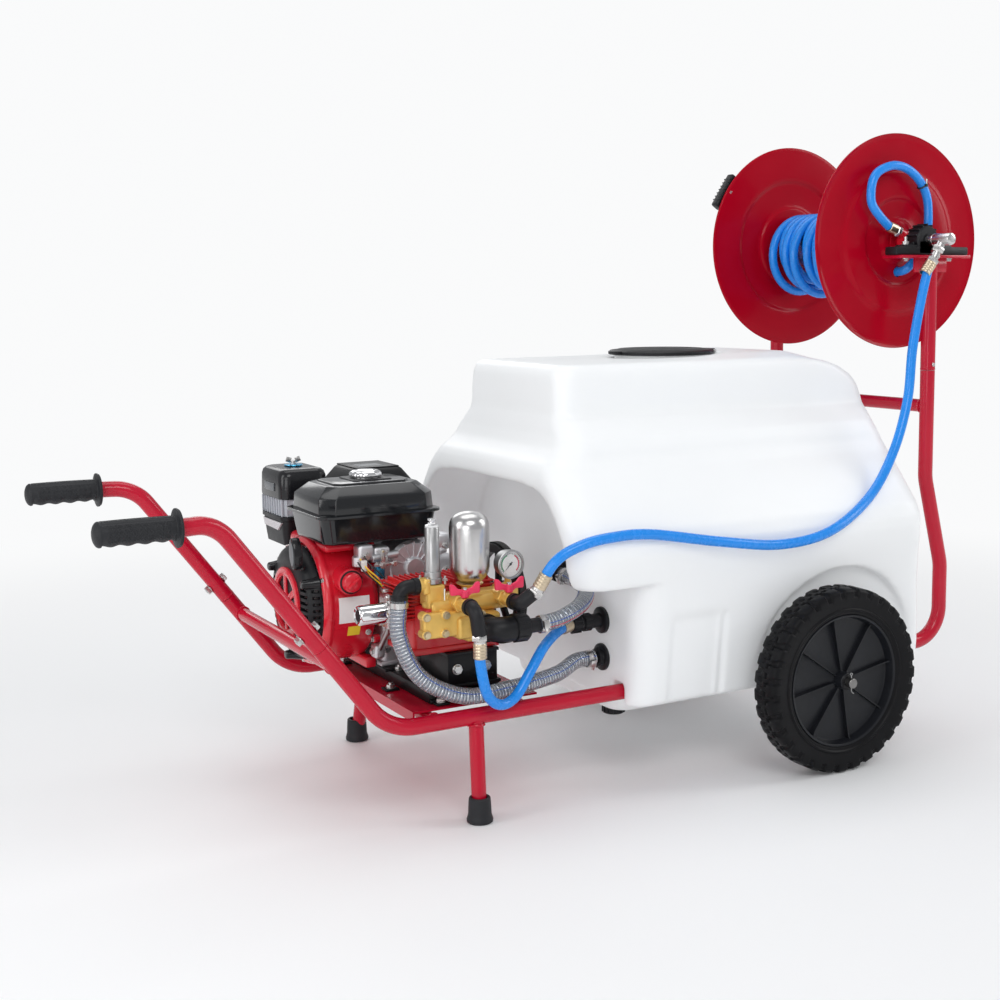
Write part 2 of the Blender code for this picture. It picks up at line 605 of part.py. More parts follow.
def build_engine_controls():
    throttle = box("throttle_lever", (-0.8085, -0.0655, 0.4260),
                   (-0.8015, -0.0625, 0.4620), STEEL)
    join(throttle, cyl("throttle_boss", (-0.805, -0.069, 0.432), (-0.805, -0.060, 0.432),
                       0.0062, n=12))
    set_origin(throttle, (-0.805, -0.064, 0.432))

    choke = box("choke_lever", (-0.868, 0.2365, 0.3712), (-0.812, 0.2435, 0.3752), BLACK)
    join(choke, cyl("choke_knob", (-0.870, 0.240, 0.366), (-0.870, 0.240, 0.378),
                    0.008, n=12))
    set_origin(choke, (-0.818, 0.240, 0.3732))

    seat = (-0.865, -0.0583, 0.4055)
    switch = cyl("engine_switch", seat, (-0.865, -0.070, 0.4055), 0.012, KNOB)
    join(switch, box("switch_key", (-0.8675, -0.075, 0.3955), (-0.8625, -0.069, 0.4155)))
    set_origin(switch, seat)


# ------------------------------------------------------------ belt drive
def grooved_rim(outer, root_r):
    """(radius, x) of a pulley rim with a V groove, from high x to low x."""
    return [(outer, PULLEY_X1), (outer, PULLEY_X1 - 0.0015), (root_r, BELT_X + 0.0055),
            (root_r, BELT_X - 0.0055), (outer, PULLEY_X0 + 0.0015), (outer, PULLEY_X0)]


def build_pulleys():
    profile = [(0.0130, PULLEY_X1), *grooved_rim(0.034, 0.0258), (0.0130, PULLEY_X0)]
    lathe("engine_pulley", profile, CRANK_AXIS, ALONG_X, STEEL, n=16,
          loc=(BELT_X, CRANK_Y, CRANK_Z))
    # pump pulley: hub, thin web and rim in one with the pump shaft
    profile = [(0, -0.584), (0.011, -0.584), (0.020, -0.588), (0.020, BELT_X + 0.003),
               (0.070, BELT_X + 0.003), (0.076, PULLEY_X1), *grooved_rim(0.092, 0.0838),
               (0.076, PULLEY_X0), (0.070, BELT_X - 0.003), (0.020, BELT_X - 0.003),
               (0.020, PULLEY_X0), (0.011, PULLEY_X0 - 0.002), (0.011, -0.670), (0, -0.670)]
    lathe("pump_pulley", profile, PUMP_AXIS, ALONG_X, BLACK, n=22,
          loc=(BELT_X, PUMP_Y, PUMP_Z))


def belt_line(crank_r, pump_r, n=10):
    """Open-belt outline (y, z) round the two pulley centres."""
    crank, pump = Vector((CRANK_Y, CRANK_Z)), Vector((PUMP_Y, PUMP_Z))
    span = pump - crank
    lean = math.atan2(span.y, span.x)
    wrap = math.acos((crank_r - pump_r) / span.length)
    out = []
    for centre, r, a0, a1 in ((crank, crank_r, lean + wrap, lean + 2 * math.pi - wrap),
                              (pump, pump_r, lean - wrap, lean + wrap)):
        for k in range(n + 1):
            a = a0 + (a1 - a0) * k / n
            out.append((centre.x + r * math.cos(a), centre.y + r * math.sin(a)))
    return out


def build_belt():
    outer, inner = belt_line(0.0370, 0.0950), belt_line(0.0305, 0.0885)
    section = ((outer, -0.0062), (outer, 0.0062), (inner, 0.0030), (inner, -0.0030))
    rings = [[(BELT_X + dx, y, z) for y, z in line] for line, dx in section]
    skin("drive_belt", rings, RUBBER, closed=True)


# ------------------------------------------------------------ pump
VALVES = ((1, -0.742), (2, -0.655))     # number, x
VALVE_Z = 0.388
CHAMBER_X, REGULATOR_X, TOP_FITTING_Y = -0.700, -0.773, -0.205
AIR_CHAMBER = (                     # radius, z: thin shell, outside then inside
    (0, 0.541), (0.018, 0.539), (0.031, 0.530), (0.036, 0.516), (0.036, 0.436),
    (0.030, 0.420), (0.016, 0.411), (0.006, 0.410), (0.006, 0.413), (0.028, 0.422),
    (0.034, 0.437), (0.034, 0.515), (0.029, 0.528), (0, 0.5365))
REGULATOR = (                       # radius, z
    (0, 0.534), (0.006, 0.534), (0.006, 0.522), (0.012, 0.520), (0.0135, 0.514),
    (0.0135, 0.424), (0.017, 0.422), (0.017, 0.4200), (0, 0.4200))
GAUGE_DIAL = (                      # radius, height towards -Y
    (0, 0.010), (0.0215, 0.010), (0.0225, 0.016), (0.0265, 0.016), (0.0265, 0.012),
    (0.025, -0.008), (0.012, -0.010), (0, -0.010))


def build_crankcase():
    case = box("pump_crankcase", (-0.800, -0.185, 0.2863), (-0.640, -0.078, 0.405),
               RED_CAST, bevel=0.008)
    for i in range(4):
        z = 0.330 + 0.020 * i
        join(case, box("fin_%d" % i, (-0.810, -0.180, z), (-0.790, -0.084, z + 0.006)))
    cut(case, box("gear_space", (-0.788, -0.175, 0.296), (-0.652, -0.088, 0.395)),
        cyl("pump_bore", (-0.675, PUMP_Y, PUMP_Z), (-0.60, PUMP_Y, PUMP_Z), 0.0118, n=20))


def build_pump_head():
    face = -0.1853                  # y of the joint with the crankcase
    head = box("pump_head", (-0.794, -0.250, 0.328), (-0.722, face, 0.372),
               BRASS, bevel=0.004)
    join(head,
         box("manifold", (-0.790, -0.246, 0.340), (-0.622, face, 0.402), bevel=0.004),
         box("suction_block", (-0.73, -0.245, 0.305), (-0.66, face, 0.345)),
         box("regulator_base", (-0.794, -0.224, 0.395), (-0.752, -0.186, 0.4197)),
         cyl("chamber_neck", (CHAMBER_X, TOP_FITTING_Y, 0.395),
             (CHAMBER_X, TOP_FITTING_Y, 0.4097), 0.014, n=14))
    for i, x in VALVES:
        join(head, cyl("valve_body_%d" % i, (x, -0.240, VALVE_Z), (x, -0.285, VALVE_Z),
                       0.0125, n=14))


def build_head_fittings():
    lathe("air_chamber", AIR_CHAMBER, (CHAMBER_X, TOP_FITTING_Y, 0), UP, CHROME, n=20)
    lathe("pressure_regulator", REGULATOR, (REGULATOR_X, TOP_FITTING_Y, 0), UP, CHROME,
          n=16, loc=(REGULATOR_X, TOP_FITTING_Y, 0.42))


def build_gauge():
    x, y, z = -0.634, -0.224, 0.444
    gauge = lathe("pressure_gauge", GAUGE_DIAL, (x, y, z), (0, -1, 0), CHROME, n=22)
    join(gauge, cyl("gauge_stem", (x, y, 0.4023), (x, y, 0.425), 0.005, n=10))
    needle = box("gauge_needle", (x - 0.004, y - 0.0125, z - 0.0008),
                 (x + 0.016, y - 0.0110, z + 0.0008), BLACK)
    set_origin(needle, (x, y - 0.0103, z))
    needle.data.transform(Matrix.Rotation(math.radians(135), 4, 'Y'))


def build_valve_knob(i, x):
    y, seat = -0.268, 0.4008
    knob = cyl("valve_knob_%d" % i, (x, y, seat), (x, y, 0.420), 0.005, KNOB, n=10)
    join(knob, box("wings_%d" % i, (x - 0.026, -0.2715, 0.409), (x + 0.026, -0.2645, 0.428)))
    set_origin(knob, (x, y, seat))


def build_throttle_actuator():
    y, z = -0.120, 0.357
    actuator = cyl("throttle_actuator", (-0.882, y, z), (-0.812, y, z), 0.0185, CHROME)
    join(actuator,
         box("actuator_bracket", (-0.821, -0.127, 0.245), (-0.815, -0.113, 0.350)),
         box("actuator_foot", (-0.8205, -0.1265, 0.2455), (-0.7405, -0.1135, 0.2515)))


# ------------------------------------------------------------ hoses
# Centre lines (x, y, z).
SUCTION_LINE = (
    (-0.4385, -0.0925, 0.380), (-0.440, -0.130, 0.379), (-0.452, -0.195, 0.370),
    (-0.495, -0.248, 0.357), (-0.555, -0.277, 0.345), (-0.5995, -0.283, 0.340))
BYPASS_LINE = (
    (-0.842, -0.215, 0.396), (-0.845, -0.218, 0.335), (-0.812, -0.228, 0.262),
    (-0.735, -0.240, 0.2195), (-0.640, -0.240, 0.2195), (-0.535, -0.222, 0.226),
    (-0.475, -0.1955, 0.2375), (FITTING_X - 0.0330, BYPASS_Y, BYPASS_Z))
AGITATOR_LINE = (
    (-0.735, -0.308, 0.345), (-0.733, -0.306, 0.290), (-0.715, -0.296, 0.232),
    (-0.682, -0.283, 0.206), (-0.645, -0.272, 0.214), (-0.608, -0.262, 0.255),
    (-0.570, -0.245, 0.290), (-0.520, -0.215, 0.307), (-0.480, -0.195, 0.309))
SUPPLY_LINE = (
    (-0.628, -0.320, 0.410), (-0.600, -0.338, 0.462), (-0.555, -0.350, 0.487),
    (-0.500, -0.358, 0.497), (-0.418, -0.362, 0.496), (-0.273, -0.373, 0.471),
    (-0.134, -0.374, 0.453), (-0.013, -0.374, 0.468), (0.113, -0.343, 0.522),
    (0.190, -0.325, 0.606), (0.236, -0.312, 0.704), (0.256, -0.302, 0.803),
    (0.278, -0.300, 0.900), (0.296, -0.300, 0.963), (0.3085, -0.300, 0.9815))


def outlet_elbow(valve, corner_y, end, bend):
    """Elbow from a valve body's end to the start of its hose."""
    i, x = valve
    path = fillet([(x, -0.2854, VALVE_Z), (x, corner_y, VALVE_Z), end], bend)
    return tube("outlet_elbow_%d" % i, path, 0.0120)


def build_suction_line():
    y, z = -0.283, 0.340
    path = fillet([(-0.695, -0.2506, z), (-0.695, y, z), (-0.628, y, z)], 0.024, 4)
    elbow = tube("suction_elbow", path, 0.0225, BLACK)
    join(elbow, cyl("suction_reducer", (-0.632, y, z), (-0.604, y, z), 0.0125, n=14))
    tube("suction_hose", smooth(SUCTION_LINE), CLEAR_R, CLEAR)


def build_bypass_hose():
    hose = tube("bypass_hose", smooth(BYPASS_LINE), CLEAR_R, CLEAR)
    x, y, z = -0.842, -0.215, 0.4185
    join(hose, tube("bypass_elbow",
                    fillet([(-0.7945, y, z), (x, y, z), (x, y, 0.388)], 0.016), 0.0125))


def build_agitator_hose():
    hose = tube("agitator_hose", smooth(AGITATOR_LINE), HOSE_R, BLUE)
    y, z = -0.195, 0.309
    join(hose, outlet_elbow(VALVES[0], -0.307, (-0.735, -0.308, 0.340), 0.012),
         cyl("swivel_nut_1", (-0.735, -0.308, 0.345), (-0.734, -0.308, 0.315), 0.014, n=12),
         cyl("agitator_coupling", (-0.485, y, z), (-0.425, y, z), 0.0165, n=14),
         cyl("agitator_flange", (-0.430, y, z), (FITTING_X, y, z), 0.024, n=18))


def build_supply_hose():
    hose = tube("supply_hose", smooth(SUPPLY_LINE, 2), HOSE_R, BLUE)
    join(hose, outlet_elbow(VALVES[1], -0.305, (-0.625, -0.322, 0.416), 0.014))


# ------------------------------------------------------------ hose reel
DRUM = (                            # radius, y: thin drum, central web and shaft
    (0, 0.2615), (0.011, 0.2615), (0.011, 0.003), (0.047, 0.003), (0.047, 0.1665),
    (0.050, 0.1665), (0.050, -0.1665), (0.047, -0.1665), (0.047, -0.003),
    (0.011, -0.003), (0.011, -0.2615), (0, -0.2615))
DISC_STAMP = (                      # radius, outward relief of the pressed disc
    (0.0125, 0.0060), (0.046, 0.0060), (0.052, 0.0), (0.086, 0.0), (0.092, 0.0050),
    (0.143, 0.0050), (0.149, 0.0), (0.2226, 0.0015))
COIL = (                            # radius, y: the wound hose as one ring
    (0.0516, 0.164), (0.094, 0.164), (0.097, 0.160), (0.097, -0.160), (0.094, -0.164),
    (0.0516, -0.164))
FEED_LOOP = (                       # x, y, z: from the hub elbow through the right disc
    (0.2960, -0.200, 1.0480), (0.258, -0.200, 1.0716), (0.2330, -0.200, 1.1110),
    (0.2450, -0.200, 1.1570), (0.293, -0.200, 1.1763), (0.345, -0.200, 1.1620),
    (0.384, -0.200, 1.1180), (0.391, -0.200, 1.0600), (0.372, -0.200, 1.0030),
    (0.348, -0.199, 0.9720), (0.337, -0.186, 0.9610), (0.336, -0.150, 0.960))
GRIP_ANGLE = math.radians(146)      # from +X towards +Z


def grip_point(radius):
    """(x, z) on the crank grip's radius of the reel."""
    return (REEL_X + radius * math.cos(GRIP_ANGLE), REEL_Z + radius * math.sin(GRIP_ANGLE))


PIN_X, PIN_Z = grip_point(0.211)


def build_drum():
    drum = lathe("reel_drum", DRUM, REEL, ALONG_Y, STEEL, n=14, loc=REEL)
    join(drum, cyl("hub_elbow", (REEL_X, -0.200, REEL_Z), (0.303, -0.200, 1.0445),
                   0.009, n=12))


def reel_disc(side, s):
    profile = [(r, DISC_Y - 0.0015 + h) for r, h in DISC_STAMP]
    profile += [(r, DISC_Y - 0.0040 + h) for r, h in reversed(DISC_STAMP)]
    return lathe("reel_disc_" + side, profile, REEL, (0, s, 0), RED, n=20, loc=REEL)


def build_discs():
    left, right = [reel_disc(side, s) for side, s in SIDES]
    x, y, z = FEED_LOOP[-1]
    cut(right, cyl("hose_hole", (x, -0.20, z), (x, -0.12, z), HOSE_R + 0.0015, n=14))
    join(left, cyl("crank_pin", (PIN_X, 0.1700, PIN_Z), (PIN_X, 0.2035, PIN_Z),
                   0.0045, n=12))


def build_crank_grip():
    grip = box("crank_grip", (-0.042, 0.1770, -0.015), (0.042, 0.1990, 0.015),
               BLACK, bevel=0.004)
    x, z = grip_point(0.2215)
    grip.data.transform(Matrix.Rotation(math.radians(124), 4, 'Y'))
    grip.data.transform(Matrix.Translation((x, 0, z)))
    cut(grip, cyl("grip_bore", (PIN_X, 0.165, PIN_Z), (PIN_X, 0.210, PIN_Z), 0.0050, n=14))
    set_origin(grip, (PIN_X, 0.188, PIN_Z))


def build_spray_hose():
    hose = lathe("spray_hose", COIL, REEL, ALONG_Y, BLUE, n=20, loc=REEL)
    join(hose, tube("feed_loop", smooth(FEED_LOOP, 2), HOSE_R))


def build_bearing(side, s):
    y0, y1 = sorted((s * 0.226, s * 0.262))
    foot_z = 0.9930
    bearing = box("bearing_" + side, (0.293, y0, foot_z), (0.373, y1, 1.052),
                  BLACK, bevel=0.006)
    join(bearing, box("bearing_foot_" + side, (0.247, y0, foot_z), (0.446, y1, 1.010)))
    cut(bearing, cyl("bearing_bore_" + side, (REEL_X, s * 0.2, REEL_Z),
                     (REEL_X, s * 0.3, REEL_Z), 0.0119, n=20))


def build_swivel():
    swivel = cyl("reel_swivel", (REEL_X, -0.2624, REEL_Z), (REEL_X, -0.328, REEL_Z),
                 0.0135, CHROME)
    join(swivel, cyl("swivel_outlet", (REEL_X, -0.300, REEL_Z), (0.3125, -0.300, 0.986),
                     0.010, n=12))


# ------------------------------------------------------------ assembly
for build in (
        build_frame, build_engine_plate, build_axle,
        build_tank, build_lid, build_strainer, build_drain_plug, build_tank_fittings,
        build_mount, build_engine_block, build_flywheel_end, build_fuel_tank,
        build_air_cleaner, build_muffler, build_engine_controls,
        build_pulleys, build_belt,
        build_crankcase, build_pump_head, build_head_fittings, build_gauge,
        build_throttle_actuator,
        build_suction_line, build_bypass_hose, build_agitator_hose, build_supply_hose,
        build_drum, build_discs, build_crank_grip, build_spray_hose, build_swivel):
    build()
for side, s in SIDES:
    for build in (build_handle, build_foot, build_reel_post, build_wheel, build_bearing):
        build(side, s)
for i, x in VALVES:
    build_valve_knob(i, x)

for ob in parts.objects:
    if ob.type == 'MESH':
        ob.data.set_sharp_from_angle(angle=math.radians(35))
bpy.context.view_layer.update()
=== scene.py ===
"""A wheeled sprayer cart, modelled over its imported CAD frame.

Metres, Z up. The axle lies along Y at x = 0. The hose reel stands at the +X end, the engine,
the pump and the handles at the -X end, and "left" is +Y. Everything is modelled in this axle
frame; place() shifts each piece by AXLE_X into the frame of the CAD pieces.
"""
import json
from math import acos, asin, atan2, cos, pi, radians, sin, sqrt, tan

import bmesh
import bpy
import numpy as np
from mathutils import Matrix, Vector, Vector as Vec

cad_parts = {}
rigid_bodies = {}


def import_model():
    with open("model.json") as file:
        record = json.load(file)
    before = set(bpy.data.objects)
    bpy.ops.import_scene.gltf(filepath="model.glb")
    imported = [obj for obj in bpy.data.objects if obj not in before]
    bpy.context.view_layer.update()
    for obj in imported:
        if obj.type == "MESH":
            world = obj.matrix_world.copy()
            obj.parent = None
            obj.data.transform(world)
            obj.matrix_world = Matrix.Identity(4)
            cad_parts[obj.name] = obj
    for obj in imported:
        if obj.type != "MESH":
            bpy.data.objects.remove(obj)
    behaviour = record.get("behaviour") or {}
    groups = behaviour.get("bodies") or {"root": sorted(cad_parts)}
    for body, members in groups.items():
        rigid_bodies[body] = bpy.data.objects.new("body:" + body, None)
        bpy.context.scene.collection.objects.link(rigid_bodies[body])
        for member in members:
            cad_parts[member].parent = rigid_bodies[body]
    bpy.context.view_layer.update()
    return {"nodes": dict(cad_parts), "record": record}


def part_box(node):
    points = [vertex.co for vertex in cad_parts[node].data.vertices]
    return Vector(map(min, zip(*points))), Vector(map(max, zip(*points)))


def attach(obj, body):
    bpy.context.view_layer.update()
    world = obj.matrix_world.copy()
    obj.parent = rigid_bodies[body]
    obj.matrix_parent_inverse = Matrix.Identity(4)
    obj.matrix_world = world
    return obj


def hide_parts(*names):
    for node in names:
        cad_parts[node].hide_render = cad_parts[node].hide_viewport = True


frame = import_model()
RECORD = frame["record"]
NODE_BODY = {node: body for body, nodes in RECORD["behaviour"]["bodies"].items() for node in nodes}
tyre_lo, tyre_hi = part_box("tyre_left")
AXLE_X = (tyre_lo.x + tyre_hi.x) / 2
SCENE_OBJECTS = bpy.context.scene.collection.objects
SIDES = (("left", 1), ("right", -1))
X, Y, Z = Vec((1, 0, 0)), Vec((0, 1, 0)), Vec((0, 0, 1))


# ---------------------------------------------------------------- materials
def add_node(tree, kind, **values):
    """A shader node with input values; an underscore in a key stands for a space."""
    node = tree.nodes.new("ShaderNode" + kind)
    for key, value in values.items():
        node.inputs[key.replace("_", " ")].default_value = value
    return node


def material(name, color, rough, metal=0.0, coat=0.0, bump=0.0, bump_scale=220.0, tint=0.05,
             tint_scale=7.0, rough_var=0.08, spec=0.5, trans=0.0, sub=0.0, ior=1.46,
             streak=None, glow=0.0):
    """Principled surface with uneven tint and roughness, and an optional fine bump.

    tint and rough_var are the spread about color and rough; streak stretches the noise; glow is
    painted light, an even white emission that brightens the shade.
    """
    mat = bpy.data.materials.new("mat_" + name)
    mat.use_nodes = True
    tree = mat.node_tree
    shader = tree.nodes["Principled BSDF"]
    link = tree.links.new
    coords = add_node(tree, "TexCoord")
    mapping = add_node(tree, "Mapping")
    link(coords.outputs["Object"], mapping.inputs["Vector"])
    if streak:
        mapping.inputs["Scale"].default_value = streak
    tint_noise = add_node(tree, "TexNoise", Scale=tint_scale, Detail=4)
    link(mapping.outputs["Vector"], tint_noise.inputs["Vector"])
    ramp = add_node(tree, "ValToRGB")
    dark, light = ramp.color_ramp.elements
    dark.color = (*[max(0, c * (1 - tint)) for c in color], 1)
    light.color = (*[min(1, c * (1 + tint)) for c in color], 1)
    dark.position = 0.3
    light.position = 0.7
    link(tint_noise.outputs["Fac"], ramp.inputs["Fac"])
    link(ramp.outputs["Color"], shader.inputs["Base Color"])
    rough_noise = add_node(tree, "TexNoise", Scale=tint_scale * 3.1, Detail=5)
    link(mapping.outputs["Vector"], rough_noise.inputs["Vector"])
    rough_range = add_node(tree, "MapRange", To_Min=max(0.02, rough - rough_var),
                           To_Max=min(1, rough + rough_var))
    link(rough_noise.outputs["Fac"], rough_range.inputs["Value"])
    link(rough_range.outputs["Result"], shader.inputs["Roughness"])
    values = {"Metallic": metal, "Specular IOR Level": spec, "Coat Weight": coat,
              "Coat Roughness": 0.08, "IOR": ior, "Transmission Weight": trans}
    if sub:
        values.update({"Subsurface Weight": sub, "Subsurface Radius": (1, 1, 1),
                       "Subsurface Scale": 0.012})
    if glow:                                   # painted light: an even white glow that lifts the shaded parts, standing in for light passing through thin translucent walls
        values.update({"Emission Color": (1, 1, 1, 1), "Emission Strength": glow})
    for key, value in values.items():
        shader.inputs[key].default_value = value
    if bump:
        bump_noise = add_node(tree, "TexNoise", Scale=bump_scale, Detail=3)
        source = mapping.outputs["Vector"] if streak else coords.outputs["Object"]
        link(source, bump_noise.inputs["Vector"])
        relief = add_node(tree, "Bump", Strength=bump, Distance=0.001)
        link(bump_noise.outputs["Fac"], relief.inputs["Height"])
        link(relief.outputs["Normal"], shader.inputs["Normal"])
    mat.diffuse_color = (*color, 1)
    return mat


RED = material("red_powder", (0.50, 0.004, 0.026), rough=0.24, coat=0.4, bump=0.12,
               bump_scale=420, tint=0.06, tint_scale=9, spec=0.22)
REEL_RED = material("reel_red", (0.390, 0.0012, 0.013), rough=0.21, coat=0.07, bump=0.08,
                    bump_scale=300, tint=0.07, tint_scale=6, spec=0.1)
ENAMEL_RED = material("red_enamel", (0.66, 0.012, 0.030), rough=0.26, coat=0.5, bump=0.1,
                      bump_scale=260, tint=0.05)
PUMP_RED = material("pump_red", (0.56, 0.014, 0.018), rough=0.36, coat=0.3, bump=0.35,
                    bump_scale=320, tint=0.08)
# glow here is painted light: an even emission that brightens the tank's shaded bay and flanks,
# standing in for light through its thin walls
WHITE = material("white_pe", (0.80, 0.815, 0.825), rough=0.36, bump=0.1, bump_scale=90,
                 tint=0.012, tint_scale=4, rough_var=0.05, sub=0.25, spec=0.42, glow=0.1)
BLACK = material("black_plastic", (0.010, 0.010, 0.012), rough=0.4, spec=0.32, bump=0.25,
                 bump_scale=520, tint=0.18, tint_scale=14, rough_var=0.1)
GLOSS = material("black_gloss_plastic", (0.009, 0.009, 0.011), rough=0.22, spec=0.38,
                 bump=0.06, bump_scale=300, tint=0.15, coat=0.2)
ENAMEL = material("black_enamel", (0.008, 0.009, 0.011), rough=0.16, coat=0.45, spec=0.35,
                  bump=0.05, bump_scale=160, tint=0.12, tint_scale=5)
BRACKET = material("black_bracket", (0.007, 0.007, 0.008), rough=0.36, coat=0.05, spec=0.28,
                   bump=0.2, bump_scale=260, tint=0.2)
RUBBER = material("grip_rubber", (0.018, 0.019, 0.022), rough=0.52, spec=0.35, bump=0.3,
                  bump_scale=700, tint=0.15)
TYRE = material("tyre", (0.0045, 0.0045, 0.0055), rough=0.42, spec=0.17, bump=0.12,
                bump_scale=420, tint=0.2, tint_scale=30, rough_var=0.08)
RIM = material("rim_plastic", (0.010, 0.011, 0.014), rough=0.36, spec=0.3, bump=0.25,
               bump_scale=460, tint=0.15, tint_scale=20)
BLUE = material("blue_hose", (0.010, 0.250, 0.800), rough=0.27, coat=0.15, bump=0.08,
                bump_scale=260, tint=0.04, tint_scale=30)
CLEAR = material("clear_pvc", (0.86, 0.90, 0.93), rough=0.1, trans=0.88, tint=0.02, ior=1.36,
                 rough_var=0.05)
RED_STRIPE = material("stripe_red", (0.55, 0.02, 0.05), rough=0.35, tint=0.1)
BLUE_STRIPE = material("stripe_blue", (0.03, 0.10, 0.45), rough=0.35, tint=0.1)
BRASS = material("cast_brass", (0.80, 0.51, 0.13), rough=0.34, metal=0.4, bump=0.45,
                 bump_scale=240, tint=0.1, tint_scale=24, rough_var=0.12)
FERRULE = material("ferrule_brass", (0.66, 0.55, 0.40), rough=0.33, metal=1.0, bump=0.08,
                   bump_scale=300, tint=0.1, streak=(1, 1, 6))
CHROME = material("chrome", (0.80, 0.80, 0.81), rough=0.07, metal=1.0, tint=0.03,
                  rough_var=0.03)
INOX = material("brushed_inox", (0.62, 0.61, 0.61), rough=0.22, metal=1.0, bump=0.15,
                bump_scale=60, tint=0.05, tint_scale=18, streak=(30, 30, 0.6), rough_var=0.08)
ZINC = material("zinc", (0.62, 0.61, 0.60), rough=0.28, metal=1.0, bump=0.15, bump_scale=350,
                tint=0.1, tint_scale=40)
AXLE_STEEL = material("axle_steel", (0.24, 0.235, 0.23), rough=0.36, metal=1.0, bump=0.15,
                      bump_scale=300, tint=0.12, tint_scale=60)
STEEL = material("steel", (0.42, 0.42, 0.42), rough=0.34, metal=1.0, bump=0.15,
                 bump_scale=300, tint=0.12, tint_scale=40)
ALU = material("cast_alu", (0.72, 0.72, 0.74), rough=0.42, metal=0.9, bump=0.5,
               bump_scale=420, tint=0.1, tint_scale=25)
GREY = material("grey_plastic", (0.16, 0.17, 0.18), rough=0.38, bump=0.25, bump_scale=500,
                tint=0.1)
KNOB = material("red_plastic", (0.80, 0.035, 0.110), rough=0.36, bump=0.1, bump_scale=350,
                tint=0.06, sub=0.1)
SMOKE = material("translucent_grey", (0.44, 0.46, 0.50), rough=0.34, tint=0.05, bump=0.1,
                 bump_scale=300)
BELT = material("belt", (0.014, 0.014, 0.014), rough=0.62, bump=0.4, bump_scale=600,
                tint=0.3, tint_scale=60)
BLUE_ZINC = material("blue_zinc", (0.05, 0.36, 0.60), rough=0.25, metal=0.8, tint=0.1,
                     tint_scale=30)
YELLOW_WIRE = material("wire_yellow", (0.85, 0.55, 0.02), rough=0.4, tint=0.05)
BLACK_WIRE = material("wire_black", (0.02, 0.02, 0.02), rough=0.4, tint=0.05)
WHITE_LABEL = material("white_label", (0.84, 0.84, 0.83), rough=0.35, tint=0.02,
                       tint_scale=30)
YELLOW_LABEL = material("yellow_label", (0.85, 0.62, 0.04), rough=0.38, tint=0.04,
                        tint_scale=30)
BRASSY_STEEL = material("brass_steel", (0.62, 0.52, 0.34), rough=0.32, metal=0.9, bump=0.1,
                        tint=0.12, tint_scale=60)
LABEL = material("blank_label", (0.62, 0.60, 0.62), rough=0.35, tint=0.03, tint_scale=30)
DIAL = material("dial_white", (0.86, 0.86, 0.84), rough=0.5, tint=0.01)
INK = material("dial_ink", (0.01, 0.01, 0.012), rough=0.5, tint=0.05)
RED_INK = material("dial_red", (0.70, 0.03, 0.08), rough=0.5, tint=0.05)
GREEN_INK = material("dial_green", (0.05, 0.30, 0.14), rough=0.5, tint=0.05)
GLASS = material("gauge_glass", (0.98, 0.98, 0.98), rough=0.03, trans=0.97, ior=1.1,
                 tint=0.005, rough_var=0.01)
TIE = material("cable_tie", (0.75, 0.74, 0.70), rough=0.4, tint=0.04)
COIL_WIRE = material("coil_wire", (0.86, 0.86, 0.87), rough=0.25, metal=0.8, tint=0.03)
HOSE_CORE = material("hose_core", (0.30, 0.33, 0.42), rough=0.3, tint=0.06, tint_scale=30)


# ---------------------------------------------------------------- mesh helpers
def mesh_object(verts, faces, mat=None, name="part"):
    mesh = bpy.data.meshes.new(name)
    mesh.from_pydata([tuple(v) for v in verts], [], faces)
    obj = bpy.data.objects.new(name, mesh)
    SCENE_OBJECTS.link(obj)
    if mat:
        mesh.materials.append(mat)
    mesh.shade_smooth()
    return obj


def shade(obj, deg=35):
    """Smooth shading, with sharp edges above an angle."""
    obj.data.shade_smooth()
    obj.data.set_sharp_from_angle(angle=radians(deg))
    return obj


def outward(obj, weld=False):
    """Turns the faces outwards, after welding coincident points if asked."""
    work = bmesh.new()
    work.from_mesh(obj.data)
    if weld:
        bmesh.ops.remove_doubles(work, verts=work.verts, dist=1e-6)
    bmesh.ops.recalc_face_normals(work, faces=work.faces)
    work.to_mesh(obj.data)
    work.free()
    return obj


def around(count, start=0.0):
    """Angles in radians evenly round a circle, from a start in degrees."""
    return [radians(start) + 2 * pi * k / count for k in range(count)]


def circle(center, across, up, radius, count):
    return [Vec(center) + (across * cos(a) + up * sin(a)) * radius for a in around(count)]


def tube(points, radius, mat, n=16, closed=False, name="part"):
    """Round tube along points, capped unless closed on itself."""
    path = [Vec(p) for p in points]
    count = len(path)
    tangents = []
    for i in range(count):
        before = path[(i - 1) % count] if (closed or i > 0) else path[i]
        after = path[(i + 1) % count] if (closed or i < count - 1) else path[i]
        tangents.append((after - before).normalized())
    across = tangents[0].orthogonal().normalized()
    verts, faces = [], []
    for i, tangent in enumerate(tangents):
        if i:
            across = tangents[i - 1].rotation_difference(tangent) @ across
        across = (across - tangent * across.dot(tangent)).normalized()
        up = tangent.cross(across)
        verts += [path[i] + (across * cos(a) + up * sin(a)) * radius for a in around(n)]
    for i in range(count if closed else count - 1):
        j = (i + 1) % count
        for k in range(n):
            l = (k + 1) % n
            faces.append((i * n + k, i * n + l, j * n + l, j * n + k))
    if not closed:
        faces.append(tuple(range(n))[::-1])
        faces.append(tuple((count - 1) * n + k for k in range(n)))
    return shade(mesh_object(verts, faces, mat, name), 40)


